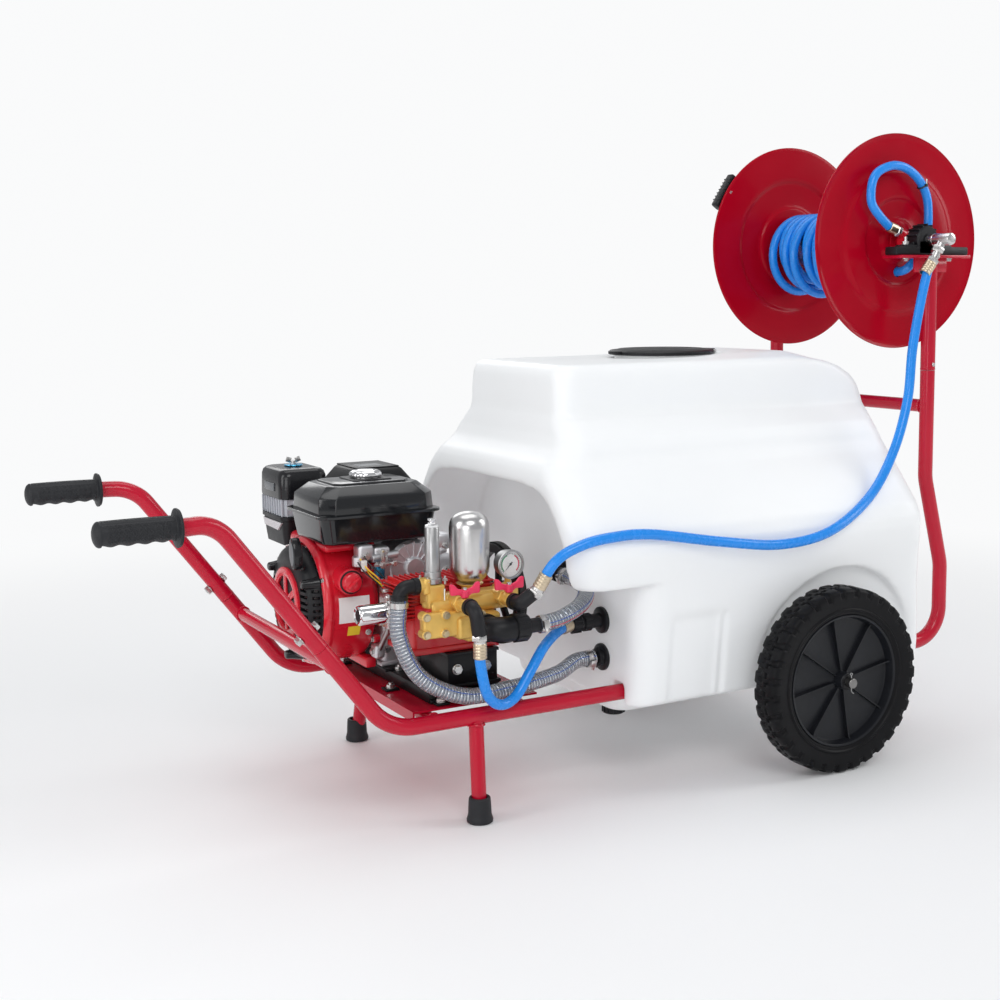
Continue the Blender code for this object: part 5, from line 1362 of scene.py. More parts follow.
# ---- levers and switch
piece("throttle_lever_arm", "throttle_lever", [
    box((-0.8085, -0.0655, 0.429), (-0.8015, -0.0625, 0.462), ZINC, 0.0008),
    rod((-0.805, -0.066, 0.432), (-0.805, -0.062, 0.432), 0.0066, ZINC, 28),
    rod((-0.805, -0.0685, 0.432), (-0.805, -0.06, 0.432), 0.0042, STEEL, 24),
    rod((-0.805, -0.0672, 0.4575), (-0.805, -0.0625, 0.4575), 0.0022, BRASSY_STEEL, 16,
        0.0004)])
piece("choke_lever_arm", "choke_lever", [
    box((-0.868, 0.2368, 0.3714), (-0.812, 0.2432, 0.375), BLACK, 0.0008),
    rod((-0.87, 0.24, 0.366), (-0.87, 0.24, 0.378), 0.008, BLACK, 28, 0.002)])
piece("engine_switch_knob", "engine_switch", [
    turned([(0, 0.0583), (0.0188, 0.0583), (0.019, 0.06), (0.017, 0.0658), (0.014, 0.0678),
            (0, 0.0684)], (SWITCH_X, 0, SWITCH_Z), -Y, ENAMEL_RED, 56),
    box((-0.8795, -0.0735, 0.403), (-0.8505, -0.067, 0.408), ENAMEL_RED, 0.0015, 2,
        Matrix.Rotation(radians(-40), 3, 'Y'))])
extra("switch_seat_ring", [
    turned([(0.0, 0.056), (0.0216, 0.056), (0.0216, 0.0576), (0.0206, 0.0581), (0, 0.0581)],
           (SWITCH_X, 0, SWITCH_Z), -Y, BLACK, 48)])

# ---- wires, their plug and block, governor arm and spring
wires = []
for mat, dx, dz in ((YELLOW_WIRE, 0, 0), (KNOB, 0.004, -0.003), (BLACK_WIRE, -0.005, -0.006),
                    (BLACK_WIRE, 0.008, 0.004), (YELLOW_WIRE, 0.009, -0.016)):
    wires.append(tube(spline([
        (-0.845 + dx, -0.052, 0.446 + dz), (-0.838 + dx, -0.066, 0.43 + dz),
        (-0.822 + dx, -0.072, 0.414 + dz), (-0.806 + dx * 0.6, -0.068, 0.396 + dz),
        (-0.803 + dx * 0.5, -0.06, 0.372), (-0.806, -0.05, 0.35)], 6), 0.0013, mat, 8))
wires += [
    box((-0.846, -0.064, 0.424), (-0.836, -0.056, 0.444), TIE, 0.0012),
    box((-0.815, -0.056, 0.405), (-0.798, -0.04, 0.43), BLUE_ZINC, 0.002),
    box((-0.82, -0.0595, 0.429), (-0.775, -0.0565, 0.435), ZINC, 0.0008),
    tube([(-0.796 + 0.0028 * cos(0.9 * k), -0.057 + 0.0028 * sin(0.9 * k), 0.435 + 0.0003 * k)
          for k in range(72)], 0.0006, ZINC, 6),
    *bolt((-0.78, -0.0595, 0.432), -Y, 0.005)]
extra("engine_wires", wires)

# ---- throttle actuator: can and end, plate and arm, stay and its lump, cable, bolts
ACTUATOR_AT = (0, -0.120, 0.357)
piece("throttle_actuator_body", "throttle_actuator", [
    turned([(0, -0.879), (0.01, -0.879), (0.011, -0.8805), (0.015, -0.8818),
            (0.0172, -0.88), (0.0184, -0.876), (0.0185, -0.835), (0.019, -0.834),
            (0.019, -0.829), (0.017, -0.827), (0, -0.827)], ACTUATOR_AT, X, CHROME, 64),
    turned([(0, -0.8782), (0.01, -0.8782), (0.01, -0.8806), (0, -0.8808)], ACTUATOR_AT, X,
           BLACK, 40),
    box((-0.829, -0.142, 0.33), (-0.8258, -0.098, 0.393), ZINC, 0.0015),
    box((-0.826, -0.127, 0.326), (-0.82, -0.113, 0.35), STEEL, 0.0015),
    tube([(-0.82, -0.12, 0.34), (-0.815, -0.102, 0.318), (-0.808, -0.06, 0.286),
          (-0.803, -0.03, 0.265)], 0.005, STEEL, 16),
    box((-0.814, -0.042, 0.252), (-0.794, -0.016, 0.278), ALU, 0.005, 3),
    rod((-0.827, -0.12, 0.357), (-0.811, -0.12, 0.357), 0.006, ZINC, 20),
    *bolts(-X, 0.0055, [(-0.829, -0.136, 0.385), (-0.829, -0.105, 0.336),
                        (-0.814, -0.029, 0.265)]),
    *bolt((-0.8255, -0.12, 0.395), Z, 0.006)])

# ================================================================ BELT DRIVE
BELT_X = -0.602
PUMP_Y, PUMP_Z = -0.130, 0.371          # pump shaft axis, along X


def pulley_rim(bore, radius, center, mat, n):
    """Rim with a V groove."""
    x = BELT_X
    return turned([(bore, x + 0.01), (radius - 0.001, x + 0.01), (radius, x + 0.009),
                   (radius, x + 0.008), (radius - 0.0082, x + 0.0052),
                   (radius - 0.0082, x - 0.0052), (radius, x - 0.008), (radius, x - 0.009),
                   (radius - 0.001, x - 0.01), (bore, x - 0.01)], center, X, mat, n)


piece("engine_pulley_wheel", "engine_pulley", [
    pulley_rim(0.013, 0.034, CRANK, STEEL, 64),
    *bolt((-0.5712, CRANK_Y, CRANK_Z), X, 0.007)])
PUMP_SHAFT = (0, PUMP_Y, PUMP_Z)
piece("pump_pulley_wheel", "pump_pulley", [
    pulley_rim(0.076, 0.092, PUMP_SHAFT, BRACKET, 96),
    turned([(0, BELT_X + 0.018), (0.011, BELT_X + 0.018), (0.02, BELT_X + 0.015),
            (0.0215, BELT_X + 0.013), (0.0215, BELT_X - 0.01), (0.011, BELT_X - 0.012),
            (0.011, -0.67), (0, -0.67)], PUMP_SHAFT, X, BRACKET, 48),
    *spokes("X", (BELT_X, PUMP_Y, PUMP_Z), 0.048, around(5, 90), (0.0045, 0.0305, 0.0075),
            BRACKET, 0.0025, 2)])


def belt_path(engine_radius, pump_radius, n=48):
    """Taut loop round both shafts, as (y, z)."""
    engine, pump = Vec((CRANK_Y, CRANK_Z)), Vec((PUMP_Y, PUMP_Z))
    span = pump - engine
    heading = atan2(span.y, span.x)
    wrap = acos((engine_radius - pump_radius) / span.length)
    out = []
    for center, radius, start, end in (
            (engine, engine_radius, heading + wrap, heading + 2 * pi - wrap),
            (pump, pump_radius, heading - wrap, heading + wrap)):
        for k in range(n + 1):
            a = start + (end - start) * k / n
            out.append((center.x + radius * cos(a), center.y + radius * sin(a)))
    return out


BELT_SECTION = [        # radius at the engine, radius at the pump, offset along x
    (0.0370, 0.0950, -0.0060), (0.0370, 0.0950, 0.0060), (0.0362, 0.0942, 0.0064),
    (0.0305, 0.0885, 0.0034), (0.0300, 0.0880, 0.0), (0.0305, 0.0885, -0.0034),
    (0.0362, 0.0942, -0.0064)]
belt_verts, belt_faces = [], []
for at_engine, at_pump, dx in BELT_SECTION:
    belt_verts += [(BELT_X + dx, y, z) for y, z in belt_path(at_engine, at_pump)]
belt_n = len(belt_verts) // len(BELT_SECTION)
for i in range(len(BELT_SECTION)):
    after = (i + 1) % len(BELT_SECTION)
    for j in range(belt_n):
        l = (j + 1) % belt_n
        belt_faces.append((i * belt_n + j, i * belt_n + l, after * belt_n + l,
                           after * belt_n + j))
place(shade(outward(mesh_object(belt_verts, belt_faces, BELT, "v_belt")), 35), "drive_belt")

# ================================================================ PUMP
piece("pump_crankcase_body", "pump_crankcase", [
    box((-0.8, -0.182, 0.2866), (-0.642, -0.08, 0.408), PUMP_RED, 0.008, 3),
    *[box((-0.815, -0.185, 0.352 + 0.0068 * k), (-0.64, -0.0775, 0.352 + 0.0068 * k + 0.003),
          PUMP_RED, 0.0008, 1) for k in range(9)],
    *[box((-0.806 + 0.011 * k, -0.178, 0.406), (-0.806 + 0.011 * k + 0.0032, -0.084, 0.4165),
          PUMP_RED, 0.0008, 1) for k in range(15)],
    # foot, oil glass, bearing cap and breather
    box((-0.806, -0.185, 0.2866), (-0.64, -0.0775, 0.298), PUMP_RED, 0.002),
    rod((-0.799, -0.13, 0.324), (-0.8075, -0.13, 0.324), 0.012, ZINC, 28, 0.001),
    rod((-0.643, PUMP_Y, PUMP_Z), (-0.635, PUMP_Y, PUMP_Z), 0.03, PUMP_RED, 40, 0.002),
    turned([(0, 0.433), (0.008, 0.4325), (0.009, 0.428), (0.006, 0.426), (0.006, 0.414),
            (0, 0.414)], (-0.68, -0.12, 0), Z, BLACK, 28)])

VALVE_X = (-0.742, -0.655)
VALVE_Z = 0.388
CHAMBER_X, CHAMBER_Y = -0.700, -0.205
HEAD_BOLTS = [(-0.8075, 0.37), (-0.8075, 0.3395), (-0.772, 0.3385), (-0.77, 0.3705),
              (-0.7, 0.364)]            # x, z
brass = [
    # head blocks and suction box
    box((-0.812, -0.249, 0.33), (-0.724, -0.229, 0.375), BRASS, 0.005, 3),
    box((-0.8, -0.23, 0.326), (-0.722, -0.182, 0.379), PUMP_RED, 0.005, 3),
    box((-0.748, -0.255, 0.323), (-0.716, -0.19, 0.364), BRASS, 0.007, 3),
    box((-0.73, -0.25, 0.316), (-0.66, -0.186, 0.365), BRASS, 0.008, 3),
    # manifold
    box((-0.776, -0.224, 0.364), (-0.628, -0.186, 0.399), BRASS, 0.008, 3),
    rod((-0.788, -0.222, 0.377), (-0.62, -0.222, 0.38), 0.015, BRASS, 36, 0.004),
    # regulator body and cup
    box((-0.7915, -0.223, 0.38), (-0.756, -0.188, 0.419), BRASS, 0.005, 3),
    turned([(0, 0.356), (0.009, 0.358), (0.017, 0.365), (0.0205, 0.376), (0.021, 0.386),
            (0.019, 0.39), (0, 0.39)], (-0.774, -0.21, 0), Z, BRASS, 40),
    # bypass port and boss, chamber seat and cup, gauge port
    rod((-0.79, -0.213, 0.419), (-0.808, -0.213, 0.419), 0.012, BRASS, 32, 0.001),
    box((-0.799, -0.225, 0.403), (-0.785, -0.2, 0.432), BRASS, 0.005, 3),
    rod((CHAMBER_X, CHAMBER_Y, 0.395), (CHAMBER_X, CHAMBER_Y, 0.409), 0.015, BRASS, 32, 0.002),
    turned([(0.005, 0.406), (0.017, 0.4075), (0.024, 0.412), (0.024, 0.4128),
            (0.0165, 0.4095), (0.005, 0.4085)], (CHAMBER_X, CHAMBER_Y, 0), Z, BRASS, 48),
    box((-0.649, -0.24, 0.385), (-0.619, -0.188, 0.403), BRASS, 0.005, 3)]
for x in VALVE_X:       # neck, body and end with hexagons between, then the stem
    z = VALVE_Z
    brass += [rod((x, -0.215, z), (x, -0.244, z), 0.012, BRASS, 32, 0.001),
              hexagon((x, -0.242, z), -Y, 0.027, 0.013, BRASS),
              rod((x, -0.254, z), (x, -0.276, z), 0.0118, BRASS, 32, 0.001),
              hexagon((x, -0.27, z), -Y, 0.024, 0.009, BRASS),
              rod((x, -0.278, z), (x, -0.285, z), 0.0105, BRASS, 28, 0.001),
              rod((x, -0.262, 0.39), (x, -0.268, 0.4003), 0.0062, BRASS, 24, 0.001),
              hexagon((x, -0.267, 0.396), Z, 0.014, 0.0042, BRASS)]
brass += [rod((x, -0.23, z), (x, -0.252, z), 0.0084, BRASS, 28, 0.002) for x, z in HEAD_BOLTS]
piece("pump_brass_head", "pump_head", brass)
fixings = bolts(-Y, 0.0062, [(x, -0.252, z) for x, z in HEAD_BOLTS], mat=BRASSY_STEEL)
fixings += [rod((-0.76, -0.2255, 0.384), (-0.76, -0.2255, 0.412), 0.0022, CHROME, 14),
            rod((-0.788, -0.196, 0.419), (-0.788, -0.196, 0.424), 0.004, ZINC, 6)]
for y in (-0.22, -0.19):
    for x in (-0.79, -0.756):
        fixings.append(rod((x, y, 0.418), (x, y, 0.433), 0.0022, ZINC, 12))
        fixings += bolt((x, y, 0.425), Z, 0.0045)
extra("pump_head_bolts", fixings)

place(turned([
    (0, 0.5412), (0.009, 0.5408), (0.018, 0.5388), (0.0255, 0.535), (0.0315, 0.529),
    (0.0348, 0.5215), (0.036, 0.513), (0.036, 0.444), (0.0345, 0.434), (0.0305, 0.425),
    (0.024, 0.418), (0.0165, 0.4135), (0.006, 0.411), (0, 0.4105)],
    (CHAMBER_X, CHAMBER_Y, 0), Z, INOX, 96, 60, "air_chamber_shell"), "air_chamber")
reg_x, reg_y = -0.773, CHAMBER_Y
piece("pressure_regulator_tube", "pressure_regulator", [
    turned([(0, 0.52), (0.012, 0.5195), (0.013, 0.518), (0.0132, 0.442), (0.015, 0.4405),
            (0.0155, 0.43), (0.017, 0.4285), (0.017, 0.4205), (0, 0.4203)],
           (reg_x, reg_y, 0), Z, STEEL, 64),
    hexagon((reg_x, reg_y, 0.519), Z, 0.022, 0.005, CHROME),
    hexagon((reg_x, reg_y, 0.5235), Z, 0.013, 0.004, CHROME),
    rod((reg_x, reg_y, 0.523), (reg_x, reg_y, 0.5335), 0.0038, CHROME, 20),
    rod((reg_x, reg_y, 0.5305), (reg_x, reg_y, 0.534), 0.0075, CHROME, 24, 0.001)])

# ---- pressure gauge, facing -Y
GAUGE_X, GAUGE_Y, GAUGE_Z = -0.634, -0.224, 0.444
GAUGE = (GAUGE_X, GAUGE_Y, GAUGE_Z)
INK_Y = GAUGE_Y - 0.01065


def dial_arc(inner, outer, start, end, mat, n=40):
    """Printed arc between two angles in degrees."""
    verts = []
    for k in range(n + 1):
        a = radians(start + (end - start) * k / n)
        for r in (inner, outer):
            for y in (INK_Y, INK_Y - 0.0001):
                verts.append((GAUGE_X + r * cos(a), y, GAUGE_Z + r * sin(a)))
    return ridged_strip(verts, mat)


gauge = [
    turned([(0, -0.01), (0.022, -0.01), (0.0238, -0.008), (0.024, 0.006), (0.0262, 0.007),
            (0.0266, 0.01), (0.0264, 0.015), (0.025, 0.016), (0.0232, 0.0155),
            (0.0228, 0.01), (0, 0.01)], GAUGE, -Y, STEEL, 96),
    rod((GAUGE_X, GAUGE_Y, 0.401), (GAUGE_X, GAUGE_Y, 0.422), 0.0055, BRASS, 24),
    hexagon((GAUGE_X, GAUGE_Y, 0.403), Z, 0.013, 0.009, BRASS),
    rod((GAUGE_X, GAUGE_Y - 0.0099, GAUGE_Z), (GAUGE_X, GAUGE_Y - 0.0106, GAUGE_Z), 0.0228,
        DIAL, 72, 0.0001),
    dial_arc(0.0186, 0.019, -45, 225, INK), dial_arc(0.016, 0.0182, 110, 225, GREEN_INK),
    dial_arc(0.016, 0.0182, -45, 60, RED_INK)]
for k in range(28):     # every third tick is long
    half = (0.0030 if k % 3 == 0 else 0.0018) / 2
    gauge += spokes("Y", (GAUGE_X, INK_Y - 0.00005, GAUGE_Z), 0.0205 - half,
                    [radians(225 - 10 * k)], (half, 0.00005, 0.00022), INK, 0)
piece("pressure_gauge_case", "pressure_gauge", gauge)
place(turned([(0, 0.0138), (0.0227, 0.0138), (0.0227, 0.0146), (0.012, 0.0151), (0, 0.0152)],
             GAUGE, -Y, GLASS, 64, name="gauge_window"), None, "cart")
needle_verts = []
angle = radians(225)
for y in (GAUGE_Y - 0.0118, GAUGE_Y - 0.0123):
    for r, across in ((0.0165, 0), (-0.005, 0.0012), (-0.005, -0.0012)):
        needle_verts.append((GAUGE_X + r * cos(angle) + across * sin(angle), y,
                             GAUGE_Z + r * sin(angle) - across * cos(angle)))
piece("gauge_needle_hand", "gauge_needle", [
    mesh_object(needle_verts, [(0, 1, 2), (3, 5, 4), (0, 3, 4, 1), (1, 4, 5, 2),
                               (2, 5, 3, 0)], INK),
    rod((GAUGE_X, GAUGE_Y - 0.0108, GAUGE_Z), (GAUGE_X, GAUGE_Y - 0.013, GAUGE_Z), 0.0022, INK,
        20, 0.0003)])

# ---- butterfly knobs of the two valves
WING = [                # x from the stem, z
    (0, 0.404), (0.006, 0.403), (0.012, 0.4075), (0.0262, 0.4075), (0.028, 0.41),
    (0.0285, 0.4262), (0.0265, 0.4275), (0.0215, 0.4262), (0.015, 0.419), (0.008, 0.4165),
    (0, 0.416)]
for i, stem_x in enumerate(VALVE_X, 1):
    piece("valve_butterfly_%d" % i, "valve_knob_%d" % i, [
        rod((stem_x, -0.268, 0.4012), (stem_x, -0.268, 0.415), 0.0072, KNOB, 28, 0.0015),
        rod((stem_x, -0.268, 0.4145), (stem_x, -0.268, 0.419), 0.0042, ZINC, 20, 0.001),
        *[softened(prism([(stem_x + side * x, z) for x, z in WING], 'y', -0.2715, -0.2645,
                         KNOB), 0.0013, 2, 60) for side in (1, -1)]])


# ================================================================ HOSES
def clamp(point, axis, radius, turn):
    """Worm-drive hose clamp: band, screw housing and screw."""
    point, axis = Vec(point), Vec(axis).normalized()
    out = Matrix.Rotation(turn, 3, axis) @ axis.orthogonal().normalized()
    along = axis.cross(out)
    center = point + out * (radius + 0.0045)
    half = Vec((0.0058, 0.0070, 0.0035))
    return [ring(point - axis * 0.005, axis, radius + 0.0002, radius + 0.0012, 0.01, ZINC, 40),
            box(center - half, center + half, ZINC, 0.0012, 2,
                Matrix((axis, along, out)).transposed()),
            rod(center + along * 0.006 + out * 0.0008, center + along * 0.0125 + out * 0.0008,
                0.0036, ZINC, 6, 0.0004)]


def ferrule(start, end, radius):
    """Crimped sleeve with five swellings."""
    start, end = Vec(start), Vec(end)
    height = (end - start).length
    profile, count = [(radius - 0.003, 0)], 5
    for i in range(count):
        a, b = height * i / count, height * (i + 1) / count
        profile += [(radius - 0.0007, a + 0.0002), (radius, a + (b - a) * 0.25),
                    (radius, a + (b - a) * 0.75), (radius - 0.0007, b - 0.0002)]
    profile.append((radius - 0.003, height))
    return turned(profile, start, end - start, FERRULE, 40)


def clear_hose(name, points):
    """Clear hose: outer wall, then core, coiled wire and printed stripes inside."""
    radius, step = 0.0148, 0.0035
    path = resample(spline(points, 12), step)
    last = len(path) - 1
    wall = tube(path, radius, CLEAR, 24, name=name + "_wall")
    core = tube(path, radius * 0.72, HOSE_CORE, 16)
    tangents = [(path[min(i + 1, last)] - path[max(i - 1, 0)]).normalized()
                for i in range(last + 1)]
    normals = [tangents[0].orthogonal().normalized()]
    for before, tangent in zip(tangents, tangents[1:]):
        u = before.rotation_difference(tangent) @ normals[-1]
        normals.append((u - tangent * u.dot(tangent)).normalized())
    per_turn = 14
    coil_steps = int(step * last / 0.0062) * per_turn
    coil = []
    for k in range(coil_steps + 1):
        s = k / coil_steps * last
        i = min(int(s), last - 1)
        f = s - i
        center = path[i].lerp(path[i + 1], f)
        tangent = tangents[i].lerp(tangents[i + 1], f).normalized()
        u = normals[i].lerp(normals[i + 1], f).normalized()
        a = 2 * pi * k / per_turn
        coil.append(center + (u * cos(a) + tangent.cross(u) * sin(a)) * (radius * 0.84))
    inside = [core, tube(coil, 0.0014, COIL_WIRE, 6)]
    for mat, a in ((RED_STRIPE, 2.2), (BLUE_STRIPE, 2.75), (BLUE_STRIPE, 5.2)):
        inside.append(tube([p + (u * cos(a) + t.cross(u) * sin(a)) * (radius + 0.0001)
                            for p, t, u in zip(path, tangents, normals)], 0.0007, mat, 6))
    place(wall, name)
    piece(name + "_inside", name, inside)


# ---- suction side: ribbed elbow with a reducer, hose, flanged fittings on the tank
ELBOW_Y, SUCTION_Z = -0.283, 0.340
piece("suction_elbow_body", "suction_elbow", [
    tube(fillet([(-0.695, -0.2506, SUCTION_Z), (-0.695, ELBOW_Y, SUCTION_Z),
                 (-0.64, ELBOW_Y, SUCTION_Z)], 0.026, 10), 0.0222, BLACK, 40),
    ring((-0.656, ELBOW_Y, SUCTION_Z), X, 0.01, 0.025, 0.024, BLACK, 48),
    ring((-0.695, -0.2506, SUCTION_Z), -Y, 0.01, 0.025, 0.012, BLACK, 48),
    turned([(0, 0), (0.0215, 0), (0.0215, 0.004), (0.014, 0.006), (0.013, 0.01),
            (0.013, 0.028), (0, 0.028)], (-0.6325, ELBOW_Y, SUCTION_Z), X, BLACK, 40),
    *spokes("X", (-0.64475, ELBOW_Y, SUCTION_Z), 0.025, around(12),
            (0.01075, 0.0012, 0.0012), BLACK, 0.0004)])
clear_hose("suction_hose", [
    (-0.4385, -0.0925, 0.38), (-0.44, -0.13, 0.379), (-0.452, -0.195, 0.37),
    (-0.495, -0.248, 0.357), (-0.555, -0.277, 0.345), (-0.6035, ELBOW_Y, SUCTION_Z)])
FITTING_X = TANK_FACE - 0.0003


def flange(name, node, y, z, radius, fittings):
    """Flange on the tank's flat face, with what stands on it."""
    disc = turned([(0.006, 0.0), (radius, 0.0), (radius + 0.0004, 0.001), (radius, 0.005),
                   (radius * 0.9, 0.0065), (radius * 0.7, 0.0072), (radius * 0.66, 0.01),
                   (0.006, 0.01)], (FITTING_X, y, z), -X, BLACK, 56)
    piece(name, node, [disc] + fittings)


flange("suction_flange", "suction_fitting", -0.05, 0.38, 0.027, [
    tube(fillet([(FITTING_X - 0.004, -0.05, 0.38), (-0.4385, -0.05, 0.38),
                 (-0.4385, -0.0915, 0.38)], 0.015, 8), 0.0135, BLACK, 32),
    ring((-0.4385, -0.064, 0.38), -Y, 0.008, 0.018, 0.013, BLACK, 8),
    hexagon((FITTING_X - 0.007, -0.05, 0.38), -X, 0.036, 0.01, BLACK)])
flange("bypass_flange", "bypass_fitting", -0.195, 0.238, 0.0255, [
    hexagon((FITTING_X - 0.007, -0.195, 0.238), -X, 0.034, 0.009, BLACK),
    rod((FITTING_X - 0.012, -0.195, 0.238), (FITTING_X - 0.031, -0.195, 0.238), 0.0115, BLACK,
        28)])

# ---- bypass hose and its elbow at the regulator
clear_hose("bypass_hose", [
    (-0.842, -0.215, 0.399), (-0.845, -0.218, 0.335), (-0.812, -0.228, 0.262),
    (-0.735, -0.24, 0.2195), (-0.64, -0.24, 0.2195), (-0.535, -0.222, 0.226),
    (-0.475, -0.1955, 0.2375), (FITTING_X - 0.0205, -0.195, 0.238)])
piece("bypass_elbow_body", "bypass_hose", [
    tube(fillet([(-0.806, -0.213, 0.419), (-0.842, -0.215, 0.419),
                 (-0.8425, -0.2155, 0.386)], 0.018, 10), 0.0132, BLACK, 32),
    ring((-0.842, -0.215, 0.3985), (0.02, 0.01, 1), 0.008, 0.0154, 0.008, BLACK, 40),
    ring((-0.805, -0.213, 0.419), -X, 0.008, 0.015, 0.01, BLACK, 40)])

# ---- agitator hose, from the first valve back to the tank
first_x, second_x = VALVE_X
nut_axis = (0.02, 0, -1)
piece("outlet_elbow_one", "agitator_hose", [
    tube(fillet([(first_x, -0.2854, VALVE_Z), (first_x, -0.308, VALVE_Z),
                 (-0.735, -0.308, 0.342)], 0.017, 10), 0.0128, BLACK, 32),
    ring((first_x, -0.283, VALVE_Z), -Y, 0.008, 0.0148, 0.0085, BLACK, 40),
    hexagon((-0.7352, -0.308, 0.343), nut_axis, 0.025, 0.0105),
    ring((-0.735, -0.308, 0.333), nut_axis, 0.006, 0.0112, 0.006, ZINC)])
place(tube(spline([
    (-0.7345, -0.308, 0.328), (-0.733, -0.306, 0.29), (-0.715, -0.296, 0.232),
    (-0.682, -0.283, 0.206), (-0.645, -0.272, 0.214), (-0.608, -0.262, 0.255),
    (-0.57, -0.245, 0.29), (-0.52, -0.215, 0.307), (-0.48, -0.195, 0.309)], 10),
    0.0095, BLUE, 24, name="agitator_hose_tube"), "agitator_hose")
piece("agitator_ferrules", "agitator_hose", [
    ferrule((-0.7347, -0.308, 0.329), (-0.734, -0.307, 0.301), 0.012),
    ferrule((-0.514, -0.2115, 0.3078), (-0.485, -0.1975, 0.309), 0.0122)])
COUPLING_Y, COUPLING_Z = -0.195, 0.309
coupling = [turned([(0.006, 0), (0.015, 0), (0.0168, 0.002), (0.0168, 0.02), (0.015, 0.0215),
                    (0.0135, 0.022), (0.0135, 0.026), (0.016, 0.027), (0.016, 0.043),
                    (0.006, 0.044)], (-0.487, COUPLING_Y, COUPLING_Z), X, BLACK, 48)]
for angle in around(12):
    coupling += spokes("X", (-0.476, COUPLING_Y, COUPLING_Z), 0.017, [angle],
                       (0.009, 0.0016, 0.0016), BLACK, 0.0005)
    coupling += spokes("X", (-0.452, COUPLING_Y, COUPLING_Z), 0.016, [angle],
                       (0.007, 0.0012, 0.0012), BLACK, 0.0004)
coupling.append(turned([(0.006, 0.0), (0.025, 0.0), (0.0254, 0.001), (0.025, 0.006),
                        (0.022, 0.008), (0.014, 0.0085), (0.013, 0.03), (0.006, 0.03)],
                       (FITTING_X, COUPLING_Y, COUPLING_Z), -X, BLACK, 56))
piece("agitator_coupling_body", "agitator_hose", coupling)

# ---- supply hose, from the second valve past the tank up to the reel swivel
supply = resample(spline([
    (-0.628, -0.32, 0.41), (-0.6, -0.338, 0.462), (-0.555, -0.35, 0.487),
    (-0.5, -0.358, 0.497), (-0.418, -0.362, 0.496), (-0.273, -0.373, 0.471),
    (-0.134, -0.374, 0.453), (-0.013, -0.374, 0.468), (0.113, -0.343, 0.522),
    (0.19, -0.325, 0.606), (0.236, -0.312, 0.704), (0.256, -0.302, 0.803),
    (0.278, -0.3, 0.9), (0.296, -0.3, 0.963), (0.3085, -0.3, 0.9815)], 16), 0.006)
place(tube(supply, 0.0095, BLUE, 24, name="supply_hose_tube"), "supply_hose")
start_dir = (supply[2] - supply[0]).normalized()
end_dir = (supply[-1] - supply[-3]).normalized()
piece("supply_hose_fittings", "supply_hose", [
    tube(fillet([(second_x, -0.2854, VALVE_Z), (second_x, -0.308, VALVE_Z),
                 (-0.636, -0.3185, 0.4055)], 0.012, 8), 0.0128, BLACK, 32),
    ring((second_x, -0.283, VALVE_Z), -Y, 0.008, 0.0148, 0.0085, BLACK, 40),
    hexagon(supply[0] - start_dir * 0.01, start_dir, 0.025, 0.011),
    ring(supply[0] + start_dir * 0.0005, start_dir, 0.006, 0.0114, 0.006, ZINC),
    ferrule(supply[1], supply[1] + (supply[5] - supply[1]).normalized() * 0.028, 0.0122),
    ferrule(supply[-1] - end_dir * 0.036, supply[-1] - end_dir * 0.008, 0.0122),
    hexagon(supply[-1] - end_dir * 0.008, end_dir, 0.022, 0.01)])
CLAMPS = [              # place, axis, turn of the screw round the hose
    ((-0.599, -0.2832, SUCTION_Z + 0.0005), (1, 0, 0.02), 2.2),
    ((-0.8422, -0.2153, 0.39), (0.02, 0.01, 1), 1.2),
    ((-0.448, -0.1952, 0.238), X, 2.6), ((-0.4387, -0.106, 0.38), Y, 3.6)]
extra("hose_clamps", [part for point, axis, turn in CLAMPS
                      for part in clamp(point, axis, 0.015, turn)])

# ================================================================ CAMERA, LIGHT, FLOOR
BACKDROP = (0.955, 0.96, 0.965, 1)
AREA_LIGHTS = [         # name, place, aim, (width, height), watts
    ("key", (-1.2, -3.4, 3.2), (0, 0, 0.45), (2.2, 1.6), 46),
    ("side", (3.4, -1.6, 2.2), (0.2, 0, 0.5), (1.2, 2.2), 34),
    ("fill", (-2.7, -2.5, 0.95), (-0.5, 0.0, 0.5), (1.6, 1.1), 17),
    ("left", (-3.6, -0.2, 1.7), (-0.5, 0, 0.4), (1.2, 2.2), 26),
    ("top", (0.0, 0.6, 3.8), (0, 0, 0.5), (3.0, 2.0), 31),
    ("back", (0.5, 3.6, 2.4), (0, 0, 0.5), (2.4, 1.4), 22)]


def build_camera(scene):
    camera = bpy.data.cameras.new("camera")
    obj = bpy.data.objects.new("camera", camera)
    SCENE_OBJECTS.link(obj)
    look = Vec((0.491, 0.863, -0.118)).normalized()
    right = look.cross(Vec((0.066, 0.098, 0.993))).normalized()
    up = right.cross(look).normalized()
    place_at = (-1.857 + AXLE_X, -2.479, 0.925)
    obj.matrix_world = Matrix([(right[i], up[i], -look[i], place_at[i]) for i in range(3)]
                              + [(0, 0, 0, 1)])
    camera.sensor_width = 36
    camera.lens = 52.46
    camera.shift_x, camera.shift_y = -0.0356, -0.035
    camera.clip_end = 100
    scene.camera = obj


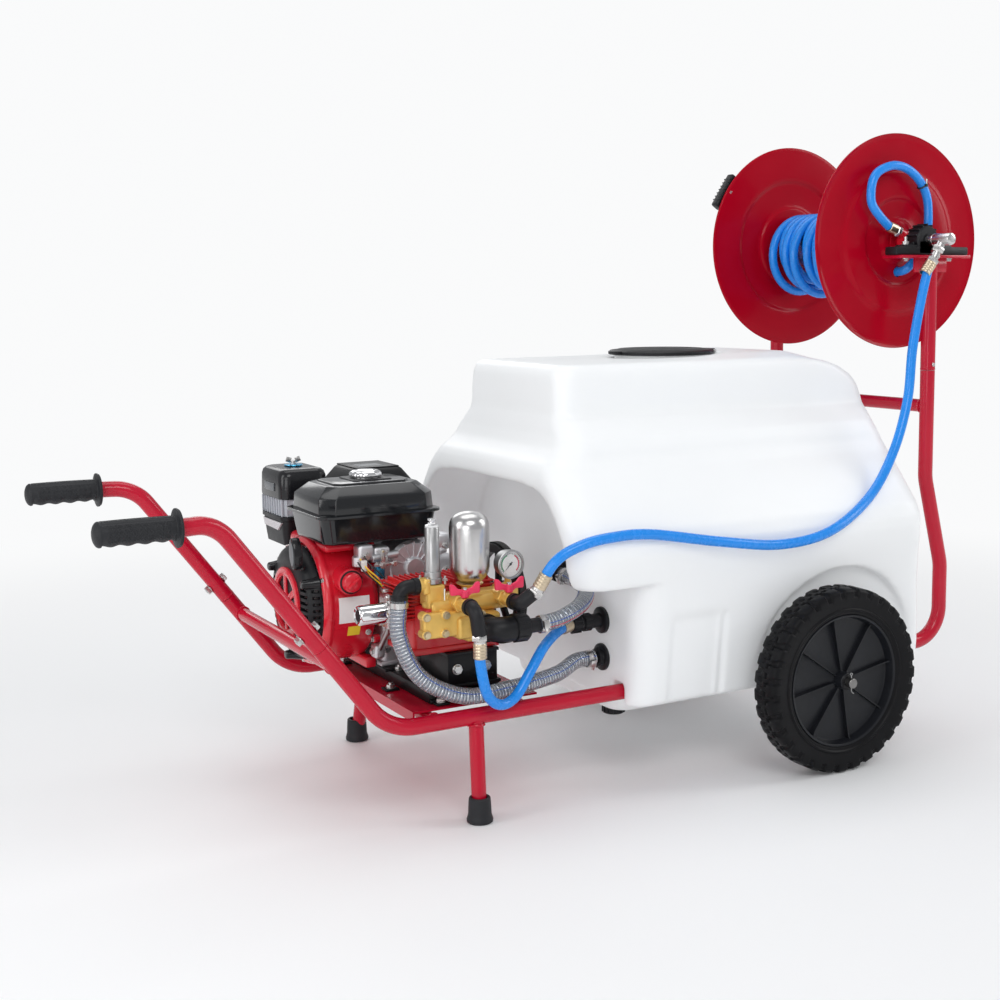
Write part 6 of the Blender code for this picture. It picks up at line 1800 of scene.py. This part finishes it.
def build_world(scene):
    """Cool light for the cart; the camera sees the paler backdrop."""
    world = bpy.data.worlds.new("studio")
    world.use_nodes = True
    tree = world.node_tree
    lighting = tree.nodes["Background"]
    lighting.inputs["Color"].default_value = (0.96, 0.975, 1.0, 1)
    lighting.inputs["Strength"].default_value = 0.46
    seen = add_node(tree, "Background", Color=BACKDROP)
    mix = add_node(tree, "MixShader")
    rays = add_node(tree, "LightPath")
    tree.links.new(rays.outputs["Is Camera Ray"], mix.inputs[0])
    tree.links.new(lighting.outputs[0], mix.inputs[1])
    tree.links.new(seen.outputs[0], mix.inputs[2])
    tree.links.new(mix.outputs[0], tree.nodes["World Output"].inputs["Surface"])
    scene.world = world
    scene.view_settings.view_transform = 'Standard'
    scene.view_settings.look = 'None'


def build_light(name, location, aim, size, power):
    light = bpy.data.lights.new(name, 'AREA')
    light.shape, light.energy = 'RECTANGLE', power
    light.size, light.size_y = size
    obj = bpy.data.objects.new(name, light)
    SCENE_OBJECTS.link(obj)
    obj.location = Vec(location)
    obj.rotation_euler = (Vec(aim) - Vec(location)).to_track_quat('-Z', 'Y').to_euler()


def build_floor():
    """Floor that fades into the backdrop with distance."""
    floor = box((-9, -9, -0.05), (9, 9, -0.0005), None, 0, name="floor")
    mat = bpy.data.materials.new("mat_floor")
    mat.use_nodes = True
    tree = mat.node_tree
    link = tree.links.new
    shader = tree.nodes["Principled BSDF"]
    shader.inputs["Base Color"].default_value = (0.93, 0.935, 0.94, 1)
    shader.inputs["Roughness"].default_value = 0.7
    geometry = add_node(tree, "NewGeometry")
    distance = add_node(tree, "VectorMath")
    distance.operation = 'LENGTH'
    fade = tree.nodes.new("ShaderNodeMapRange")
    fade.interpolation_type = 'SMOOTHSTEP'
    fade.inputs["From Min"].default_value = 1.0
    fade.inputs["From Max"].default_value = 3.2
    glow = add_node(tree, "Emission", Color=BACKDROP)
    mix = add_node(tree, "MixShader")
    link(geometry.outputs["Position"], distance.inputs[0])
    link(distance.outputs["Value"], fade.inputs["Value"])
    link(fade.outputs["Result"], mix.inputs[0])
    link(shader.outputs[0], mix.inputs[1])
    link(glow.outputs[0], mix.inputs[2])
    link(mix.outputs[0], tree.nodes["Material Output"].inputs["Surface"])
    floor.data.materials.append(mat)


build_camera(bpy.context.scene)
build_world(bpy.context.scene)
for row in AREA_LIGHTS:
    build_light(*row)
build_floor()

for node in frame["nodes"]:
    if node not in finished:
        keep(node, BLACK)
bpy.context.view_layer.update()
